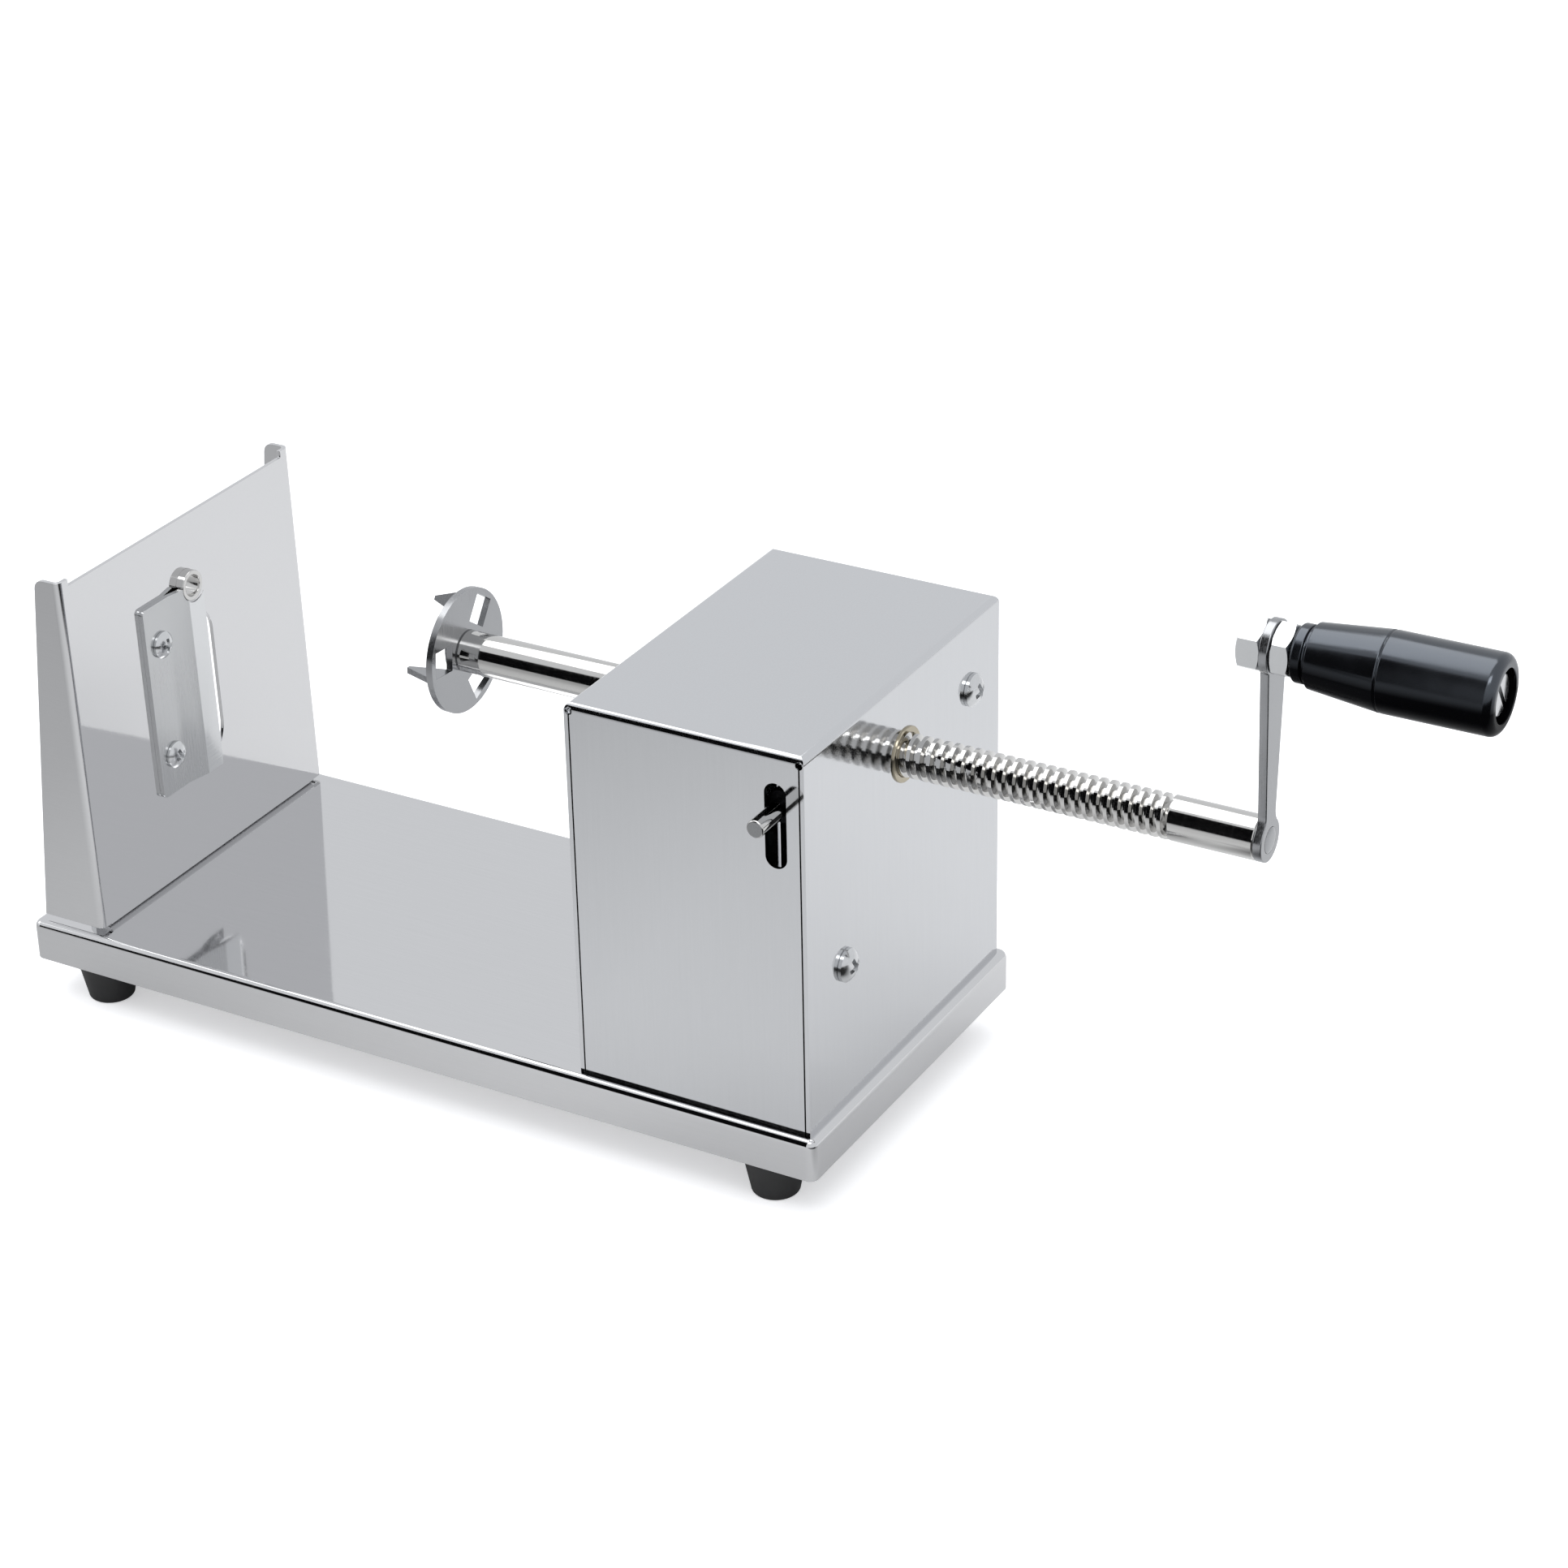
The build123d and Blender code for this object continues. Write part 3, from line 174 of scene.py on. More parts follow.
def metal(name, colour, roughness, grain, stretch, relief, ripple=0.0, mottle=0.06):
    """A metal with grain lines, a slow ripple of its sheet and faint smudges.

    grain is the distance between lines in mm, stretch how many times longer they are along X, Y, Z,
    relief and ripple the heights of both patterns in micrometres, and mottle how much darker the
    lines are.
    """
    material, tree = blank(name)
    place = add(tree, "ShaderNodeTexCoord").outputs["Object"]
    lie = add(tree, "ShaderNodeMapping", {"Vector": place, "Scale": [1 / s for s in stretch]})
    lines = add(
        tree,
        "ShaderNodeTexNoise",
        {"Vector": lie.outputs[0], "Scale": 1 / (grain * MM), "Detail": 3.0, "Roughness": 0.6},
    )
    # Handling leaves smudges some 35 mm across, seen only as a change of gloss.
    film = add(tree, "ShaderNodeTexNoise", {"Vector": place, "Scale": 1 / (35 * MM), "Detail": 2.0})
    low, high = roughness
    gloss = add(
        tree,
        "ShaderNodeMapRange",
        {"Value": lines.outputs["Fac"], 1: 0.3, 2: 0.7, 3: low, 4: high},
    )
    wear_and_shade = add(
        tree,
        "ShaderNodeMapRange",
        {"Value": film.outputs["Fac"], 1: 0.35, 2: 0.65, 3: 0.75, 4: 1.25},
    )
    rough = add(
        tree, "ShaderNodeMath", {0: gloss.outputs[0], 1: wear_and_shade.outputs[0]}, operation="MULTIPLY"
    )
    dark = [c * (1 - mottle) for c in colour] + [1]
    shade = add(
        tree,
        "ShaderNodeMix",
        {0: lines.outputs["Fac"], 6: dark, 7: [*colour, 1]},
        data_type="RGBA",
    )
    bump = add(
        tree,
        "ShaderNodeBump",
        {"Height": lines.outputs["Fac"], "Distance": relief * 1e-6, "Strength": 1.0},
    )
    normal = bump.outputs[0]
    if ripple:
        # Thin sheet is never quite flat: reflections swim over waves some 45 mm long.
        wave = add(
            tree, "ShaderNodeTexNoise", {"Vector": place, "Scale": 1 / (45 * MM), "Detail": 0.0}
        )
        swim = add(
            tree,
            "ShaderNodeBump",
            {
                "Height": wave.outputs["Fac"],
                "Distance": ripple * 1e-6,
                "Strength": 1.0,
                "Normal": normal,
            },
        )
        normal = swim.outputs[0]
    shader = add(
        tree,
        "ShaderNodeBsdfPrincipled",
        {
            "Base Color": shade.outputs[2],
            "Metallic": 1.0,
            "Roughness": rough.outputs[0],
            "Normal": normal,
        },
    )
    add(tree, "ShaderNodeOutputMaterial", {"Surface": shader.outputs[0]})
    return material


def mirror_polished_stainless(finishes):
    """Stainless sheet, buffed to a mirror: sharp reflections, faint hairlines along the tray."""
    name = "stainless_sheet_mirror_polished"
    return metal(name, finishes.polished, (0.03, 0.075), 0.4, (60, 1, 1), 0.5, ripple=22)


def bright_annealed_stainless(finishes):
    """Stainless sheet, bright-annealed at the mill: soft reflections, fine grain up and down."""
    name = "stainless_sheet_bright_annealed"
    return metal(name, finishes.satin, (0.06, 0.11), 0.5, (1, 1, 40), 0.7, ripple=18)


def turned_stainless(finishes):
    """Stainless bar, turned and polished: bright, with tool rings 0.3 mm apart round it."""
    name = "stainless_bar_turned_polished"
    return metal(name, finishes.turned, (0.05, 0.11), 0.3, (1, 90, 90), 0.6)


def zinc_plated_steel(finishes):
    """Steel with bright zinc plate: clean and white, slightly cloudy from the bath."""
    name = "steel_bright_zinc_plated"
    return metal(name, finishes.zinc, (0.14, 0.24), 1.2, (1, 1, 1), 1.5, mottle=0.1)


def ground_blade_steel(finishes):
    """Hardened blade steel off the surface grinder: fine lines along the blade."""
    return metal("blade_steel_surface_ground", finishes.ground, (0.14, 0.26), 0.35, (1, 1, 70), 1.6)


def honed_blade_steel(finishes):
    """The blade's ground bevel: lines straight across the edge, brighter than the flat."""
    return metal("blade_steel_bevel_ground", finishes.zinc, (0.1, 0.2), 0.3, (1, 60, 1), 1.8)


def plated_flat_bar(finishes):
    """Flat steel, linished and plated: greyer than the sheet, with lines along the arm."""
    return metal("steel_flat_bar_plated", finishes.bar, (0.16, 0.26), 0.4, (1, 1, 60), 1.5)


def cold_rolled_steel(finishes):
    """Cold-rolled steel, pressed and passivated: dull, a little uneven."""
    name = "steel_cold_rolled_pressed"
    return metal(name, finishes.pressed, (0.3, 0.44), 0.8, (1, 4, 1), 4, mottle=0.18)


def drawn_spring_wire(finishes):
    """Spring wire, drawn and oiled: grey with die lines."""
    return metal("spring_wire_drawn", finishes.wire, (0.2, 0.34), 0.25, (1, 1, 6), 2.5, mottle=0.15)


def turned_bronze(finishes):
    """Pale bearing bronze, turned and run in: warm and bright, with rings from the tool."""
    name = "bronze_bearing_turned"
    return metal(name, finishes.bronze, (0.12, 0.26), 0.3, (1, 40, 40), 1.5, mottle=0.2)


def black_oxide_steel(finishes):
    """Pressed steel, blackened in an oxide bath: nearly black, with a dull oily sheen."""
    return metal("steel_black_oxide", finishes.oxide, (0.35, 0.5), 0.8, (1, 4, 1), 4, mottle=0.3)


def moulded(name, colour, roughness, stipple, relief, ior, dust=0.0, sheen=(1, 1, 1), painted_shade_below=None):
    """Moulded black material with the stipple of its mould.

    stipple is its width in mm and relief its height in micrometres. sheen tints the gloss, which is
    turned down below the last height given: painted shade that darkens the underside.
    """
    material, tree = blank(name)
    place = add(tree, "ShaderNodeTexCoord").outputs["Object"]
    grain = add(
        tree, "ShaderNodeTexNoise", {"Vector": place, "Scale": 1 / (stipple * MM), "Detail": 2.0}
    )
    flow = add(tree, "ShaderNodeTexNoise", {"Vector": place, "Scale": 1 / (14 * MM), "Detail": 3.0})
    low, high = roughness
    gloss = add(
        tree,
        "ShaderNodeMapRange",
        {"Value": flow.outputs["Fac"], 1: 0.35, 2: 0.65, 3: low, 4: high},
    )
    pale = [c + dust for c in colour] + [1]
    shade = add(
        tree, "ShaderNodeMix", {0: flow.outputs["Fac"], 6: [*colour, 1], 7: pale}, data_type="RGBA"
    )
    bump = add(
        tree,
        "ShaderNodeBump",
        {"Height": grain.outputs["Fac"], "Distance": relief * 1e-6, "Strength": 1.0},
    )
    shader = add(
        tree,
        "ShaderNodeBsdfPrincipled",
        {
            "Base Color": shade.outputs[2],
            "Roughness": gloss.outputs[0],
            "IOR": ior,
            "Specular Tint": [*sheen, 1],
            "Normal": bump.outputs[0],
        },
    )
    # Painted shade: below the given height the gloss is turned down, so the grip's underside
    # reflects less and looks darker.
    if painted_shade_below is not None:
        height = add(tree, "ShaderNodeSeparateXYZ", {0: place}).outputs[2]
        wear_and_shade = add(
            tree,
            "ShaderNodeMapRange",
            {"Value": height, 1: painted_shade_below - 1 * MM, 2: painted_shade_below + 5 * MM, 3: 0.01, 4: 0.5},
        )
        tree.links.new(wear_and_shade.outputs[0], shader.inputs["Specular IOR Level"])
    add(tree, "ShaderNodeOutputMaterial", {"Surface": shader.outputs[0]})
    return material


def moulded_rubber(finishes):
    """Nitrile rubber from a spark-eroded mould: black, satin, with a fine stipple."""
    name = "nitrile_rubber_moulded"
    return moulded(name, finishes.rubber, (0.42, 0.56), 0.5, 12, ior=1.52, dust=0.006)


def moulded_phenolic(finishes):
    """Phenolic, moulded and lacquered: deep black, bluish gloss on top, gloss turned down below as
    painted shade.
    """
    return moulded(
        "phenolic_moulded_lacquered",
        finishes.plastic,
        (0.14, 0.2),
        3.5,
        5,
        ior=1.95,
        sheen=(0.8, 0.88, 1),
        painted_shade_below=AXLE.z,
    )


def matt_floor(finishes):
    """Matt opal table: pale and without gloss, with a little light from below."""
    material, tree = blank("studio_table_opal")
    place = add(tree, "ShaderNodeTexCoord").outputs["Object"]
    tooth = add(tree, "ShaderNodeTexNoise", {"Vector": place, "Scale": 1 / (2 * MM)})
    bump = add(tree, "ShaderNodeBump", {"Height": tooth.outputs["Fac"], "Distance": 2e-5})
    shader = add(
        tree,
        "ShaderNodeBsdfPrincipled",
        {
            "Base Color": [*finishes.floor, 1],
            "Roughness": 0.9,
            "Specular IOR Level": 0.1,
            "Emission Color": [*finishes.floor, 1],
            "Emission Strength": 0.5,
            "Normal": bump.outputs[0],
        },
    )
    add(tree, "ShaderNodeOutputMaterial", {"Surface": shader.outputs[0]})
    return material


def grey_card():
    """Matt card seen only in reflections: pale behind, greyer in front, black at the front right;
    painted reflection.
    """
    material, tree = blank("studio_card_grey")
    spot = add(tree, "ShaderNodeTexCoord").outputs["Object"]
    place = add(tree, "ShaderNodeSeparateXYZ", {0: spot})

    def ramp(socket, start, end, low, high):
        span = {"Value": socket, 1: start, 2: end, 3: low, 4: high}
        return add(tree, "ShaderNodeMapRange", span).outputs[0]

    def times(first, second):
        factors = {0: first, 1: second}
        return add(tree, "ShaderNodeMath", factors, operation="MULTIPLY").outputs[0]

    across, along = place.outputs[0], place.outputs[1]
    front = ramp(along, -0.06, 0.02, 1.0, 0.0)
    left = ramp(across, -0.3, -0.06, 0.46, 0.68)
    near = ramp(along, -0.3, -0.12, 0.86, 1.0)
    right = ramp(across, 0.07, 0.12, 0.0, 1.0)
    pale = add(tree, "ShaderNodeMix", {0: front, 2: 0.8, 3: times(left, near)}).outputs[0]
    tone = add(tree, "ShaderNodeMix", {0: times(front, right), 2: pale, 3: 0.02}).outputs[0]
    shader = add(tree, "ShaderNodeBsdfDiffuse", {"Color": tone})
    add(tree, "ShaderNodeOutputMaterial", {"Surface": shader.outputs[0]})
    return material


def black_wool():
    """Black wool cloth: matt, and as dark as cloth gets."""
    material, tree = blank("curtain_black_wool")
    wool = add(tree, "ShaderNodeBsdfDiffuse", {"Color": [*linear("#0B0B0C"), 1]})
    add(tree, "ShaderNodeOutputMaterial", {"Surface": wool.outputs[0]})
    return material


MADE = {}


def finish_of(maker):
    """The material of one finish, made once."""
    if maker not in MADE:
        MADE[maker] = maker(bpy.context.scene.cutter_finishes)
    return MADE[maker]


# ---- Mesh tools ------------------------------------------------------------------------------

ALONG_X = Matrix(((0, 0, 1), (1, 0, 0), (0, 1, 0))).to_4x4()


def turned(outline, segments):
    """A bmesh turned round Z from (radius, height) points; a closed outline gives a solid."""
    bm = bmesh.new()
    rings = []
    for radius, height in outline:
        if radius < 1e-7:
            rings.append([bm.verts.new((0, 0, height))] * segments)
            continue
        angles = [2 * math.pi * j / segments for j in range(segments)]
        places = [(radius * math.cos(a), radius * math.sin(a), height) for a in angles]
        rings.append([bm.verts.new(place) for place in places])
    for first, second in zip(rings, rings[1:]):
        for j in range(segments):
            k = (j + 1) % segments
            corners = []
            for vert in (first[j], first[k], second[k], second[j]):
                if vert not in corners:
                    corners.append(vert)
            if len(corners) > 2:
                bm.faces.new(corners)
    return bm


def cut_thread(bm, span, radius, depth, pitch, form, segments, run):
    """Adds a right-hand thread round Z between two heights, its groove fading out at both ends.

    form gives points over one pitch as (share of the pitch, share of the depth).
    """
    start, end = span
    turns = math.ceil((end - start) / pitch) + 1
    heights = [start - pitch + (turn + share) * pitch for turn in range(turns) for share, _ in form]
    heights.append(start - pitch + turns * pitch)
    rows = []
    for i, base in enumerate(heights):
        share = form[i % len(form)][1]
        row = []
        for j in range(segments + 1):
            height = min(max(base + pitch * j / segments, start), end)
            fade = min(1, (height - start) / run, (end - height) / run)
            reach = radius - depth * share * fade * fade * (3 - 2 * fade)
            angle = 2 * math.pi * j / segments
            row.append(bm.verts.new((reach * math.cos(angle), reach * math.sin(angle), height)))
        rows.append(row)
    for low, high in zip(rows, rows[1:]):
        for j in range(segments):
            bm.faces.new((low[j], low[j + 1], high[j + 1], high[j]))


def weld(bm):
    """Joins the points that meet and turns all faces outwards."""
    bmesh.ops.remove_doubles(bm, verts=bm.verts, dist=2e-6)
    bmesh.ops.dissolve_degenerate(bm, edges=bm.edges, dist=1e-7)
    bmesh.ops.recalc_face_normals(bm, faces=bm.faces)
    return bm


def as_mesh(bm, name):
    """A mesh from a bmesh, which is freed."""
    mesh = bpy.data.meshes.new(name)
    bm.to_mesh(mesh)
    bm.free()
    return mesh


def take_in(bm, extra):
    """Adds another bmesh to a bmesh and frees the other one."""
    part = as_mesh(extra, "part")
    bm.from_mesh(part)
    bpy.data.meshes.remove(part)


def carve(mesh, tool, operation):
    """The mesh after a boolean with another one; both inputs are removed."""
    first = bpy.data.objects.new("carve_piece", mesh)
    second = bpy.data.objects.new("carve_tool", tool)
    for item in (first, second):
        bpy.context.scene.collection.objects.link(item)
    cut = first.modifiers.new("cut", "BOOLEAN")
    cut.operation = operation
    cut.object = second
    cut.solver = "EXACT"
    graph = bpy.context.evaluated_depsgraph_get()
    result = bpy.data.meshes.new_from_object(first.evaluated_get(graph))
    for item in (first, second):
        bpy.data.objects.remove(item)
    for old in (mesh, tool):
        bpy.data.meshes.remove(old)
    return result


def gathered(mesh, places, name):
    """One mesh with a copy of the given one at every place."""
    bm = bmesh.new()
    for place in places:
        copy = mesh.copy()
        copy.transform(place)
        bm.from_mesh(copy)
        bpy.data.meshes.remove(copy)
    bpy.data.meshes.remove(mesh)
    return as_mesh(bm, name)


def piece(name, mesh, material, node, crease=34):
    """An object that stands for a CAD node, rides on its body and takes its finish."""
    mesh.name = name
    item = bpy.data.objects.new(name, mesh)
    bpy.context.scene.collection.objects.link(item)
    mesh.materials.clear()
    mesh.materials.append(material)
    for face in mesh.polygons:
        face.use_smooth = True
        face.material_index = 0
    mesh.set_sharp_from_angle(angle=math.radians(crease))
    for body, nodes in frame["record"]["behaviour"]["bodies"].items():
        if node in nodes:
            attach(item, body)
    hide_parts(node)
    return item


def islands(node):
    """The separate solids of a node, each as a list of its points."""
    bm = bmesh.new()
    bm.from_mesh(frame["nodes"][node].data)
    bmesh.ops.remove_doubles(bm, verts=bm.verts, dist=1e-6)
    seen, found = set(), []
    for start in bm.verts:
        if start in seen:
            continue
        seen.add(start)
        stack, group = [start], []
        while stack:
            vert = stack.pop()
            group.append(vert.co.copy())
            for edge in vert.link_edges:
                other = edge.other_vert(vert)
                if other not in seen:
                    seen.add(other)
                    stack.append(other)
        found.append(group)
    bm.free()
    return found


def seats(node, axis):
    """For each solid of a node: a matrix with +Z on the axis at its lowest end, its turn and length.

    They are sorted by place, so that every run gives each one the same number.
    """
    axis = Vector(axis).normalized()
    basis = axis.to_track_quat("Z", "Y").to_matrix()
    found = []
    for points in islands(node):
        local = [basis.transposed() @ p for p in points]
        low = Vector([min(p[i] for p in local) for i in range(3)])
        high = Vector([max(p[i] for p in local) for i in range(3)])
        centre = (low + high) / 2
        far = max(local, key=lambda p: (p.xy - centre.xy).length)
        turn = math.atan2(far.y - centre.y, far.x - centre.x)
        origin = basis @ Vector((centre.x, centre.y, low.z))
        found.append((Matrix.Translation(origin) @ basis.to_4x4(), turn, high.z - low.z))
    found.sort(key=lambda seat: tuple(round(c, 5) for c in seat[0].translation), reverse=True)
    return found


def soften(node, width, material, segments=2, angle=30):
    """Gives a CAD node its finish, and breaks its edges."""
    item = frame["nodes"][node]
    item.data.materials.clear()
    item.data.materials.append(material)
    for face in item.data.polygons:
        face.material_index = 0
        face.use_smooth = True
    weld_points = item.modifiers.new("weld", "WELD")
    weld_points.merge_threshold = 1e-6
    flat = item.modifiers.new("flat", "DECIMATE")
    flat.decimate_type = "DISSOLVE"
    flat.angle_limit = math.radians(0.4)
    edge = item.modifiers.new("edge", "BEVEL")
    edge.width = width
    edge.segments = segments
    edge.limit_method = "ANGLE"
    edge.angle_limit = math.radians(angle)
    edge.use_clamp_overlap = True
    even = item.modifiers.new("even", "WEIGHTED_NORMAL")
    even.keep_sharp = False
    even.weight = 100
    return item


# ---- Pieces ----------------------------------------------------------------------------------

# Trapezoidal thread: a flat crest, flanks at 15 degrees and a flat root, as cut_thread takes it.
TRAPEZOID = (
    (0.0, 0.0),
    (0.35, 0.0),
    (0.37, 0.06),
    (0.5, 0.94),
    (0.52, 1.0),
    (0.83, 1.0),
    (0.85, 0.94),
    (0.98, 0.06),
)
# Metric thread: narrow crests and roots, flanks at 30 degrees.
METRIC = ((0.0, 0.0), (0.12, 0.0), (0.5, 1.0), (0.62, 1.0))

# Screw sizes in mm: shank and head radii, crown height, thread pitch and cross recess.
M4 = dict(shank=2.0, head=4.0, crown=2.6, pitch=0.7, recess=2.15, slot=0.62)
M5 = dict(shank=2.5, head=4.75, crown=3.2, pitch=0.8, recess=2.6, slot=0.74)


def cross_recess(size):
    """The tapered cross that a driver's point presses into a screw head, hanging from height 0."""
    bm = bmesh.new()
    rings = []
    for reach, half, height in (
        (size["recess"], size["slot"], 0.8),
        (size["recess"], size["slot"], -0.35),
        (size["recess"] * 0.5, size["slot"] * 0.62, -2.1),
    ):
        corners = []
        for k in range(4):
            turn = Matrix.Rotation(k * math.pi / 2, 3, "Z")
            for x, y in ((reach, -half), (reach, half), (half, half)):
                corners.append(bm.verts.new(turn @ Vector((x, y, height)) * MM))
        rings.append(corners)
    for first, second in zip(rings, rings[1:]):
        for j in range(12):
            k = (j + 1) % 12
            bm.faces.new((first[j], first[k], second[k], second[j]))
    bm.faces.new(rings[0])
    bm.faces.new(rings[-1])
    return as_mesh(weld(bm), "recess")


def pan_head_screw(size, total):
    """A pan-head screw with a cross recess, its point at the origin and its head up +Z."""
    head, crown, shank = size["head"] * MM, size["crown"] * MM, size["shank"] * MM
    seat = total - crown
    rim = crown / 3
    drop = crown - rim
    bend = (head * head + drop * drop) / (2 * drop)
    arc = []
    for i in range(9):
        angle = math.asin(head / bend) * (1 - i / 8)
        arc.append((bend * math.sin(angle), seat + crown - bend + bend * math.cos(angle)))
    edge = 0.18 * MM
    outline = [(shank, seat), (head - edge, seat), (head, seat + edge), *arc[:-1], (0, seat + crown)]
    bm = turned(outline, 48)
    pitch, neck = size["pitch"] * MM, seat - 0.8 * MM
    tip = 0.6 * pitch
    cut_thread(bm, (tip, neck), shank, 0.61 * pitch, pitch, METRIC, 48, tip)
    take_in(bm, turned([(shank, neck), (shank, seat)], 48))
    take_in(bm, turned([(0, 0), (shank - tip, 0), (shank, tip)], 48))
    mesh = as_mesh(weld(bm), "screw")
    recess = cross_recess(size)
    recess.transform(Matrix.Translation((0, 0, total)))
    return carve(mesh, recess, "DIFFERENCE")


def hexagon_nut(flats, height, bore):
    """A hexagon nut on the origin, corners turned down at 30 degrees and bore countersunk."""
    reach = flats / math.sqrt(3)
    face = flats * 0.475
    fall = (reach - face) * math.tan(math.radians(30))
    lead = min(0.12 * flats, 0.45 * MM)
    outline = [
        (bore + lead, 0),
        (face, 0),
        (reach * 1.002, fall),
        (reach * 1.002, height - fall),
        (face, height),
        (bore + lead, height),
        (bore, height - lead),
        (bore, lead),
        (bore + lead, 0),
    ]
    ring = as_mesh(weld(turned(outline, 96)), "ring")
    bm = bmesh.new()
    angles = [k * math.pi / 3 for k in range(6)]
    corners = [(reach * math.cos(a), reach * math.sin(a), -MM) for a in angles]
    base = bm.faces.new([bm.verts.new(c) for c in corners])
    grown = bmesh.ops.extrude_face_region(bm, geom=[base])
    tops = [v for v in grown["geom"] if isinstance(v, bmesh.types.BMVert)]
    bmesh.ops.translate(bm, verts=tops, vec=(0, 0, height + 2 * MM))
    return carve(ring, as_mesh(weld(bm), "prism"), "INTERSECT")


class CUTTER_OT_sheet_metal(bpy.types.Operator):
    """Polishes the tray, the blade bracket and the housing and deburrs their edges"""

    bl_idname = "cutter.sheet_metal"
    bl_label = "Sheet metal"

    def execute(self, context):
        sizes = context.scene.cutter_sizes
        for node in ("tray", "blade_bracket"):
            soften(node, sizes.sheet_edge, finish_of(mirror_polished_stainless))
        soften("housing", sizes.sheet_edge, finish_of(bright_annealed_stainless))
        return {"FINISHED"}


class CUTTER_OT_blade(bpy.types.Operator):
    """Grinds the blade: lines along its flat, lines across its bevel"""

    bl_idname = "cutter.blade"
    bl_label = "Blade"

    def execute(self, context):
        sizes = context.scene.cutter_sizes
        item = soften("blade", sizes.small_edge / 3, finish_of(ground_blade_steel), angle=40)
        item.data.materials.append(finish_of(honed_blade_steel))
        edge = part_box("blade")[1].y
        for face in item.data.polygons:
            # The bevel is the strip of the front face that ends at the cutting edge.
            if face.normal.dot(PLATE_NORMAL) > 0.5 and edge - face.center.y < sizes.bevel:
                face.material_index = 1
        return {"FINISHED"}


class CUTTER_OT_feed_rod(bpy.types.Operator):
    """Turns the feed rod, with its trapezoidal thread, groove, centre hole and riveted end"""

    bl_idname = "cutter.feed_rod"
    bl_label = "Feed rod"

    def execute(self, context):
        sizes = context.scene.cutter_sizes
        end = ARM_INNER - sizes.shank_length
        start = end - sizes.thread_length
        left = ROD_LOW.x
        neck, groove = 5.0 * MM, 4.2 * MM
        tenon, hole = 3.5 * MM, 1.6 * MM
        edge = 0.5 * MM
        groove_left, groove_right = RING_LEFT - 0.1 * MM, DISC_BACK - 2.0 * MM
        nose = [
            (0, left + 8 * MM),
            (hole, left + 6.4 * MM),
            (hole, left + edge),
            (hole + edge, left),
            (neck - edge, left),
            (neck, left + edge),
            (neck, groove_left),
            (groove, groove_left),
            (groove, groove_right),
            (neck, groove_right),
            (neck, DISC_BACK),
            (ROD_RADIUS - 0.35 * MM, DISC_BACK),
            (ROD_RADIUS, DISC_BACK + 0.35 * MM),
            (ROD_RADIUS, start),
        ]
        shank = [
            (ROD_RADIUS, end),
            (ROD_RADIUS, ARM_INNER - 0.4 * MM),
            (ROD_RADIUS - 0.4 * MM, ARM_INNER),
            (tenon, ARM_INNER),
            (tenon, ARM_OUTER),
            (tenon - edge, ARM_OUTER + 0.25 * MM),
            (tenon * 0.5, ARM_OUTER + 0.4 * MM),
            (0, ARM_OUTER + 0.42 * MM),
        ]
        segments, depth, run = 96, sizes.thread_depth, sizes.thread_run
        bm = turned(nose, segments)
        cut_thread(bm, (start, end), ROD_RADIUS, depth, FEED_PITCH, TRAPEZOID, segments, run)
        take_in(bm, turned(shank, segments))
        mesh = as_mesh(weld(bm), "feed_rod_threaded")
        mesh.transform(Matrix.Translation((0, SPINDLE.y, SPINDLE.z)) @ ALONG_X)
        item = piece("feed_rod_threaded", mesh, finish_of(turned_stainless), "feed_rod")
        item.data.materials.append(finish_of(plated_flat_bar))
        for face in item.data.polygons:
            # The riveted end is linished and plated with the arm.
            if face.center.x > ARM_OUTER:
                face.material_index = 1
        return {"FINISHED"}


class CUTTER_OT_screws(bpy.types.Operator):
    """Makes the pan-head screws, with their cross recesses and threads"""

    bl_idname = "cutter.screws"
    bl_label = "Screws"

    def execute(self, context):
        for node, size, axis in (
            ("foot_screws", M4, (0, 0, -1)),
            ("housing_screws", M4, (0, 0, -1)),
            ("half_nut_screws", M4, (1, 0, 0)),
            ("blade_screws", M4, PLATE_NORMAL),
            ("pivot_screw", M5, (1, 0, 0)),
            ("seat_screw", M5, (1, 0, 0)),
        ):
            found = seats(node, axis)
            mesh = pan_head_screw(size, found[0][2])
            # Every screw stops at a chance angle when it is tightened.
            places = [
                place @ Matrix.Rotation(0.35 + 1.1 * i, 4, "Z")
                for i, (place, _, _) in enumerate(found)
            ]
            mesh = gathered(mesh, places, node)
            item = piece(node + "_recessed", mesh, finish_of(zinc_plated_steel), node, crease=30)
        return {"FINISHED"}


class CUTTER_OT_nuts(bpy.types.Operator):
    """Makes the hexagon nuts, with their turned-down corners and countersunk bores"""

    bl_idname = "cutter.nuts"
    bl_label = "Nuts"

    def execute(self, context):
        for node, flats, bore, axis in (
            ("foot_nuts", 7.0, 2.0, (0, 0, 1)),
            ("housing_nuts", 7.0, 2.0, (0, 0, 1)),
            ("blade_nuts", 7.0, 2.0, PLATE_NORMAL),
            ("pivot_nut", 8.0, 2.5, (1, 0, 0)),
            ("seat_nut", 8.0, 2.5, (1, 0, 0)),
            ("axle_nut", 13.0, 4.0, (1, 0, 0)),
            ("axle_collar", 13.0, 4.0, (1, 0, 0)),
        ):
            found = seats(node, axis)
            mesh = hexagon_nut(flats * MM, found[0][2], bore * MM)
            places = [place @ Matrix.Rotation(turn, 4, "Z") for place, turn, _ in found]
            mesh = gathered(mesh, places, node)
            item = piece(node + "_chamfered", mesh, finish_of(zinc_plated_steel), node, crease=20)
        return {"FINISHED"}


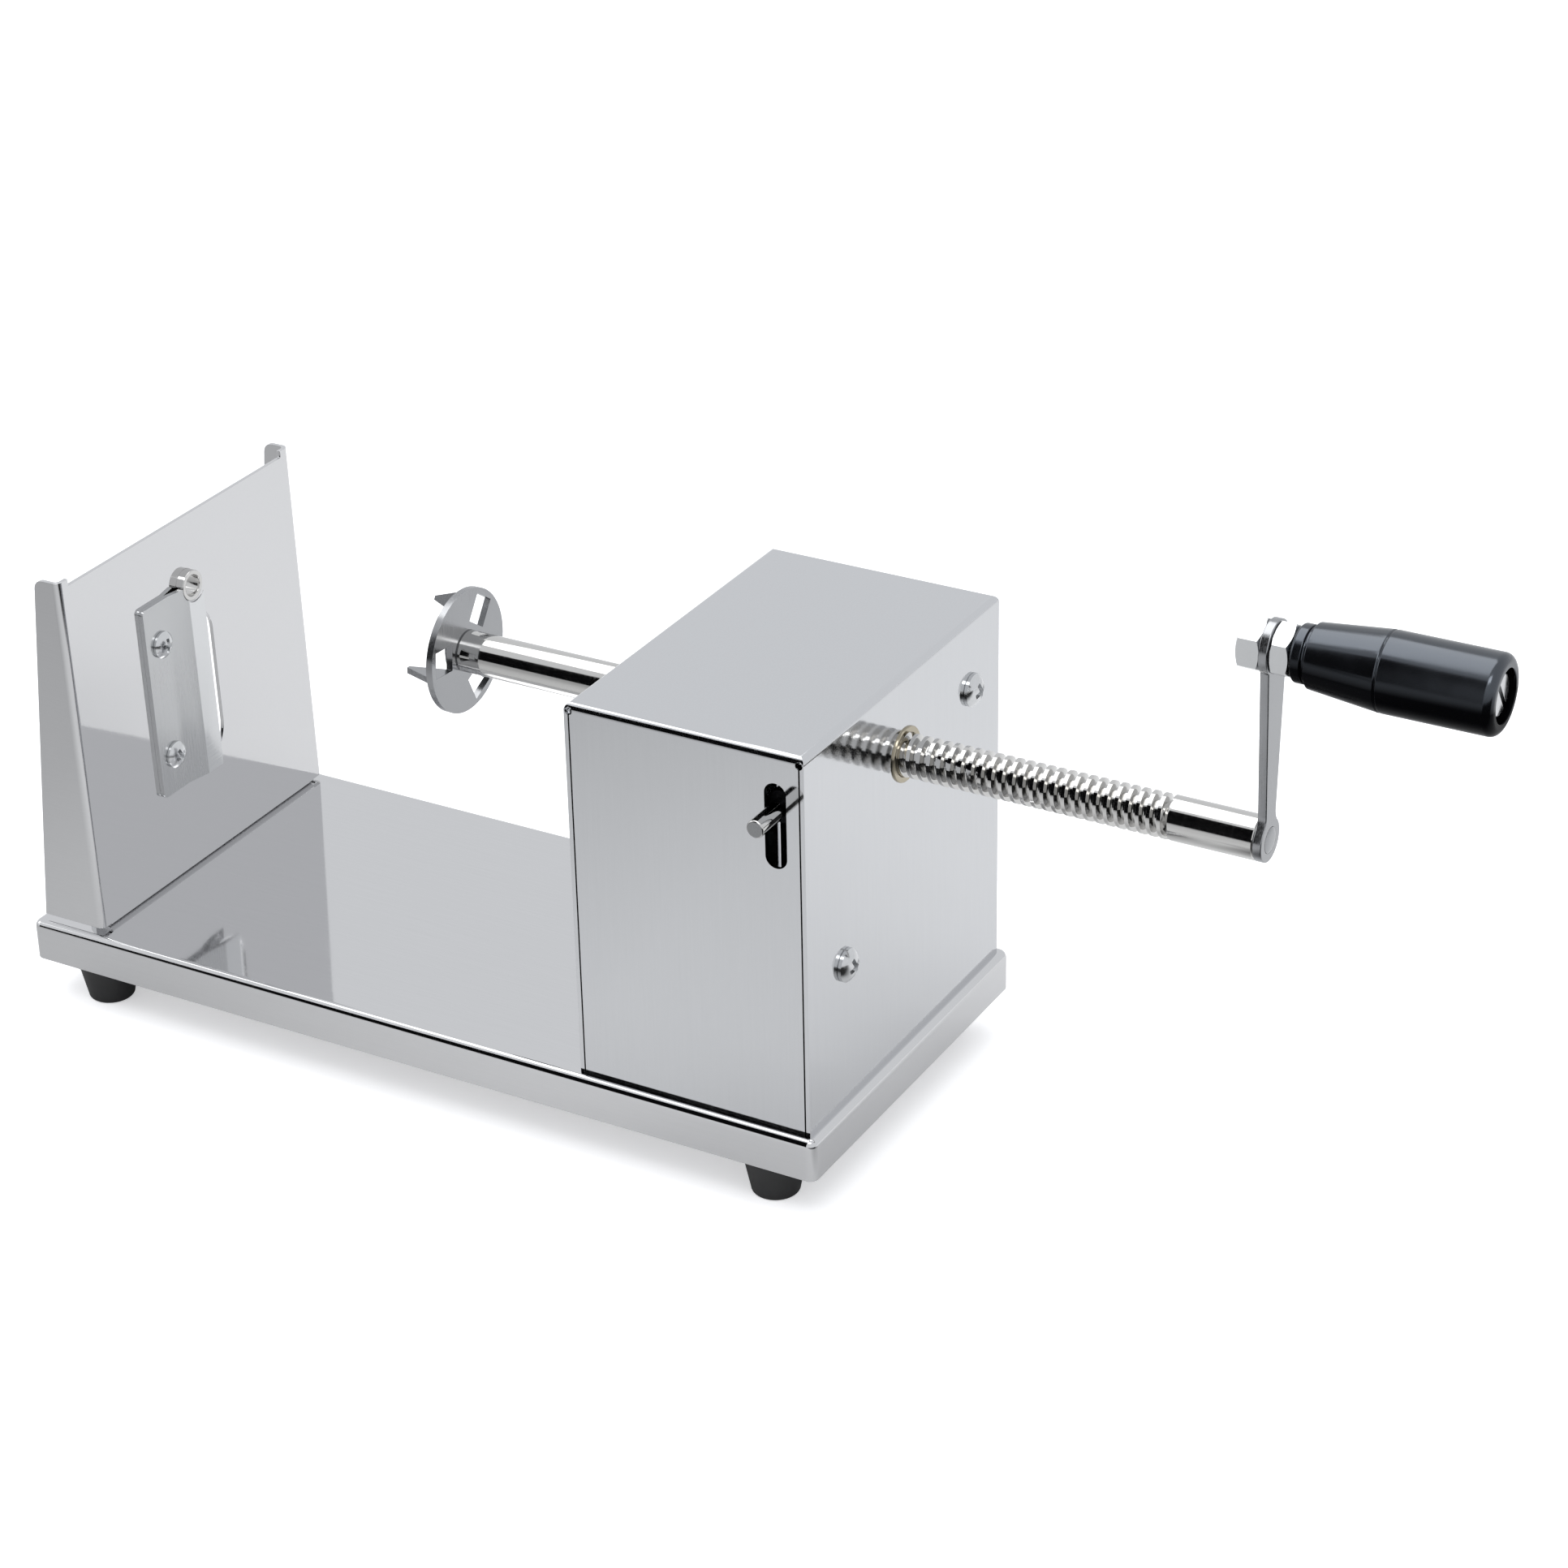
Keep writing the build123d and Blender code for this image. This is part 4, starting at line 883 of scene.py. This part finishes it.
class CUTTER_OT_crank(bpy.types.Operator):
    """Finishes the drive disc, its ring and the crank arm"""

    bl_idname = "cutter.crank"
    bl_label = "Disc and arm"

    def execute(self, context):
        sizes = context.scene.cutter_sizes
        soften("drive_disc", sizes.small_edge, finish_of(plated_flat_bar))
        soften("disc_ring", sizes.small_edge, finish_of(drawn_spring_wire))
        soften("crank_arm", sizes.small_edge * 2, finish_of(plated_flat_bar), segments=3)
        return {"FINISHED"}


class CUTTER_OT_grip(bpy.types.Operator):
    """Moulds the grip and turns its axle"""

    bl_idname = "cutter.grip"
    bl_label = "Grip"

    def execute(self, context):
        soften("grip", 0.35 * MM, finish_of(moulded_phenolic), segments=3, angle=20)
        low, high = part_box("grip_axle")
        left, right = low.x, high.x
        radius, head = 4.0 * MM, 5.5 * MM
        thread_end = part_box("axle_collar")[1].x
        tip = 0.7 * MM
        bm = turned([(0, left), (radius - tip, left), (radius, left + tip)], 64)
        cut_thread(bm, (left + tip, thread_end), radius, 0.77 * MM, 1.25 * MM, METRIC, 64, tip)
        rest = turned(
            [
                (radius, thread_end),
                (radius, right - 3 * MM),
                (head - 0.2 * MM, right - 3 * MM),
                (head, right - 2.8 * MM),
                (head, right - 0.5 * MM),
                (head - 0.15 * MM, right - 0.15 * MM),
                (head - 0.5 * MM, right),
                (0, right),
            ],
            64,
        )
        take_in(bm, rest)
        mesh = as_mesh(weld(bm), "axle")
        # The slot for a screwdriver is 1.6 mm wide and 1.2 mm deep.
        slot = bmesh.new()
        size = Matrix.Diagonal((1.6 * MM, 14 * MM, 2.4 * MM, 1))
        bmesh.ops.create_cube(slot, size=1, matrix=size)
        cutter = as_mesh(slot, "slot")
        turn = Matrix.Rotation(math.radians(35), 4, "Z")
        cutter.transform(Matrix.Translation((0, 0, right)) @ turn)
        mesh = carve(mesh, cutter, "DIFFERENCE")
        mesh.transform(Matrix.Translation((0, AXLE.y, AXLE.z)) @ ALONG_X)
        item = piece("grip_axle_slotted", mesh, finish_of(zinc_plated_steel), "grip_axle")
        return {"FINISHED"}


class CUTTER_OT_feet(bpy.types.Operator):
    """Finishes the rubber feet"""

    bl_idname = "cutter.feet"
    bl_label = "Feet"

    def execute(self, context):
        soften("rubber_feet", 0.3 * MM, finish_of(moulded_rubber), segments=3)
        return {"FINISHED"}


class CUTTER_OT_bushes(bpy.types.Operator):
    """Finishes the two rod bushes and the guide behind the blade"""

    bl_idname = "cutter.bushes"
    bl_label = "Bushes"

    def execute(self, context):
        edge = context.scene.cutter_sizes.small_edge * 2
        for node in ("left_bush", "right_bush"):
            soften(node, edge, finish_of(turned_bronze))
        soften("skewer_guide", edge, finish_of(turned_stainless))
        return {"FINISHED"}


class CUTTER_OT_release(bpy.types.Operator):
    """Finishes the release lever, its pin, sleeve and half nut, and the spring's seat"""

    bl_idname = "cutter.release"
    bl_label = "Release lever"

    def execute(self, context):
        sizes = context.scene.cutter_sizes
        soften("release_lever", sizes.small_edge, finish_of(black_oxide_steel))
        soften("pivot_sleeve", sizes.small_edge, finish_of(turned_stainless))
        soften("spring_seat", sizes.small_edge, finish_of(cold_rolled_steel))
        pin = soften("finger_pin", sizes.small_edge, finish_of(turned_stainless))
        pin.data.materials.append(finish_of(cold_rolled_steel))
        for face in pin.data.polygons:
            # The end face towards -Y takes the darker, duller cold-rolled finish.
            if face.normal.y < -0.9:
                face.material_index = 1
        soften("half_nut", sizes.small_edge, finish_of(turned_bronze))
        return {"FINISHED"}


class CUTTER_OT_spring(bpy.types.Operator):
    """Winds the return spring, with closed and ground ends"""

    bl_idname = "cutter.spring"
    bl_label = "Return spring"

    def execute(self, context):
        wire = context.scene.cutter_sizes.wire
        low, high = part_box("return_spring")
        centre = (low + high) / 2
        radius = (high.x - low.x) / 2 - wire
        # It stands on the seat's shelf, round a 3 mm spigot, and reaches up to the lever's lug.
        bottom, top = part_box("spring_seat")[1].z - 3 * MM, high.z + 0.3 * MM
        closed, active, per_turn, around = 1.1, 5.6, 48, 14
        total = closed * 2 + active
        end_pitch = wire * 2.08
        rise = (top - bottom - wire) - 2 * closed * end_pitch
        steps = round(total * per_turn)
        path = []
        for i in range(steps + 1):
            turn = total * i / steps
            tight = min(turn, closed) + max(0, turn - closed - active)
            loose = min(max(turn - closed, 0), active)
            height = bottom + wire / 2 + tight * end_pitch + rise * loose / active
            angle = 2 * math.pi * turn
            x = centre.x + radius * math.cos(angle)
            y = centre.y + radius * math.sin(angle)
            path.append(Vector((x, y, height)))
        bm = bmesh.new()
        rings = []
        for i, point in enumerate(path):
            ahead = (path[min(i + 1, steps)] - path[max(i - 1, 0)]).normalized()
            out = Vector((point.x - centre.x, point.y - centre.y, 0)).normalized()
            up = ahead.cross(out).normalized()
            ring = []
            for j in range(around):
                angle = 2 * math.pi * j / around
                spot = point + (out * math.cos(angle) + up * math.sin(angle)) * wire
                spot.z = min(max(spot.z, bottom), top)
                ring.append(bm.verts.new(spot))
            rings.append(ring)
        for first, second in zip(rings, rings[1:]):
            for j in range(around):
                k = (j + 1) % around
                bm.faces.new((first[j], first[k], second[k], second[j]))
        bm.faces.new(rings[0])
        bm.faces.new(rings[-1])
        bmesh.ops.recalc_face_normals(bm, faces=bm.faces)
        mesh = as_mesh(bm, "return_spring_wound")
        item = piece("return_spring_wound", mesh, finish_of(drawn_spring_wire), "return_spring")
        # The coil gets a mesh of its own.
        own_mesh(item)
        return {"FINISHED"}


def studio_piece(name, bm, material):
    """An object of the studio, which is no part of the cutter."""
    item = bpy.data.objects.new(name, as_mesh(bm, name))
    bpy.context.scene.collection.objects.link(item)
    item.data.materials.append(material)
    return item


class CUTTER_OT_stage(bpy.types.Operator):
    """Sets the pale floor, the soft studio light and the camera"""

    bl_idname = "cutter.stage"
    bl_label = "Stage"

    def execute(self, context):
        scene = context.scene
        bm = bmesh.new()
        bmesh.ops.create_grid(bm, x_segments=2, y_segments=2, size=6)
        floor = studio_piece("studio_floor", bm, finish_of(matt_floor))

        # A black curtain round the front gives bright metal its dark bands.
        radius, height, first, last, steps = 2.2, 3.2, -131, -101, 12
        bm = bmesh.new()
        rows = []
        for z in (0.001, height):
            row = []
            for i in range(steps + 1):
                angle = math.radians(first + (last - first) * i / steps)
                row.append(bm.verts.new((radius * math.cos(angle), radius * math.sin(angle), z)))
            rows.append(row)
        for i in range(steps):
            bm.faces.new((rows[0][i], rows[0][i + 1], rows[1][i + 1], rows[1][i]))
        curtain = studio_piece("studio_curtain", bm, black_wool())

        # A grey card on the floor keeps the sheet metal from glaring. Seen only in reflections, its
        # greyer front and black front right are painted reflection that darkens the metal, the grip
        # and the rod.
        bm = bmesh.new()
        bmesh.ops.create_grid(bm, x_segments=2, y_segments=2, size=3)
        card = studio_piece("studio_card", bm, grey_card())
        card.location.z = 0.4 * MM

        # Only reflections see these two.
        for item in (curtain, card):
            item.visible_camera = False
            item.visible_diffuse = False
            item.visible_shadow = False

        world = bpy.data.worlds.new("studio_air")
        scene.world = world
        world.use_nodes = True
        world.node_tree.nodes.clear()
        sky = {"Color": [*linear("#F6F8FB"), 1], "Strength": 0.88}
        air = add(world.node_tree, "ShaderNodeBackground", sky)
        add(world.node_tree, "ShaderNodeOutputWorld", {"Surface": air.outputs[0]})

        for name, spot, aim, size, power in (
            ("softbox_over", (-0.35, 0.25, 1.35), (-0.05, 0.1, 0), (1.3, 0.9), 7.0),
            ("softbox_left", (-1.5, -0.5, 0.9), (0, 0, 0.05), (0.7, 0.9), 2.0),
            ("softbox_front", (0.45, -0.75, 1.5), (0.1, 0, 0.1), (0.8, 0.5), 4.5),
        ):
            lamp = bpy.data.lights.new(name, "AREA")
            lamp.shape = "RECTANGLE"
            lamp.size, lamp.size_y = size
            lamp.energy = power
            item = bpy.data.objects.new(name, lamp)
            scene.collection.objects.link(item)
            item.location = spot
            look = Vector(aim) - Vector(spot)
            item.rotation_euler = look.to_track_quat("-Z", "Y").to_euler()

        lens = bpy.data.cameras.new("studio_camera")
        lens.lens, lens.sensor_width = 92.38, 36.0
        lens.clip_start, lens.clip_end = 0.05, 30
        camera = bpy.data.objects.new("studio_camera", lens)
        scene.collection.objects.link(camera)
        turn = Matrix.Rotation(math.radians(29.739), 4, "Z")
        tilt = Matrix.Rotation(math.radians(90 - 27.733), 4, "X")
        roll = Matrix.Rotation(math.radians(-1.194), 4, "Z")
        camera.matrix_world = Matrix.Translation((0.4874, -0.8318, 0.6020)) @ turn @ tilt @ roll
        scene.camera = camera
        scene.view_settings.view_transform = "Standard"
        return {"FINISHED"}


# ---- Add-on ----------------------------------------------------------------------------------

OPERATORS = (
    CUTTER_OT_sheet_metal,
    CUTTER_OT_blade,
    CUTTER_OT_feed_rod,
    CUTTER_OT_screws,
    CUTTER_OT_nuts,
    CUTTER_OT_crank,
    CUTTER_OT_grip,
    CUTTER_OT_feet,
    CUTTER_OT_bushes,
    CUTTER_OT_release,
    CUTTER_OT_spring,
    CUTTER_OT_stage,
)


class CUTTER_PT_panel(bpy.types.Panel):
    """Lists the steps and the settings of the cutter"""

    bl_label = "Tornado Potato Cutter"
    bl_idname = "CUTTER_PT_panel"
    bl_space_type = "VIEW_3D"
    bl_region_type = "UI"
    bl_category = "Cutter"

    def draw(self, context):
        layout = self.layout
        for operator in OPERATORS:
            layout.operator(operator.bl_idname)
        for group in (context.scene.cutter_sizes, context.scene.cutter_finishes):
            box = layout.box()
            for name in group.__annotations__:
                box.prop(group, name)


CLASSES = (CutterSizes, CutterFinishes, *OPERATORS, CUTTER_PT_panel)


def register():
    for item in CLASSES:
        bpy.utils.register_class(item)
    bpy.types.Scene.cutter_sizes = bpy.props.PointerProperty(type=CutterSizes)
    bpy.types.Scene.cutter_finishes = bpy.props.PointerProperty(type=CutterFinishes)


def unregister():
    del bpy.types.Scene.cutter_finishes
    del bpy.types.Scene.cutter_sizes
    for item in reversed(CLASSES):
        bpy.utils.unregister_class(item)


def main():
    """Runs every step."""
    register()
    for operator in OPERATORS:
        group, name = operator.bl_idname.split(".")
        getattr(getattr(bpy.ops, group), name)()


if __name__ == "__main__":
    main()
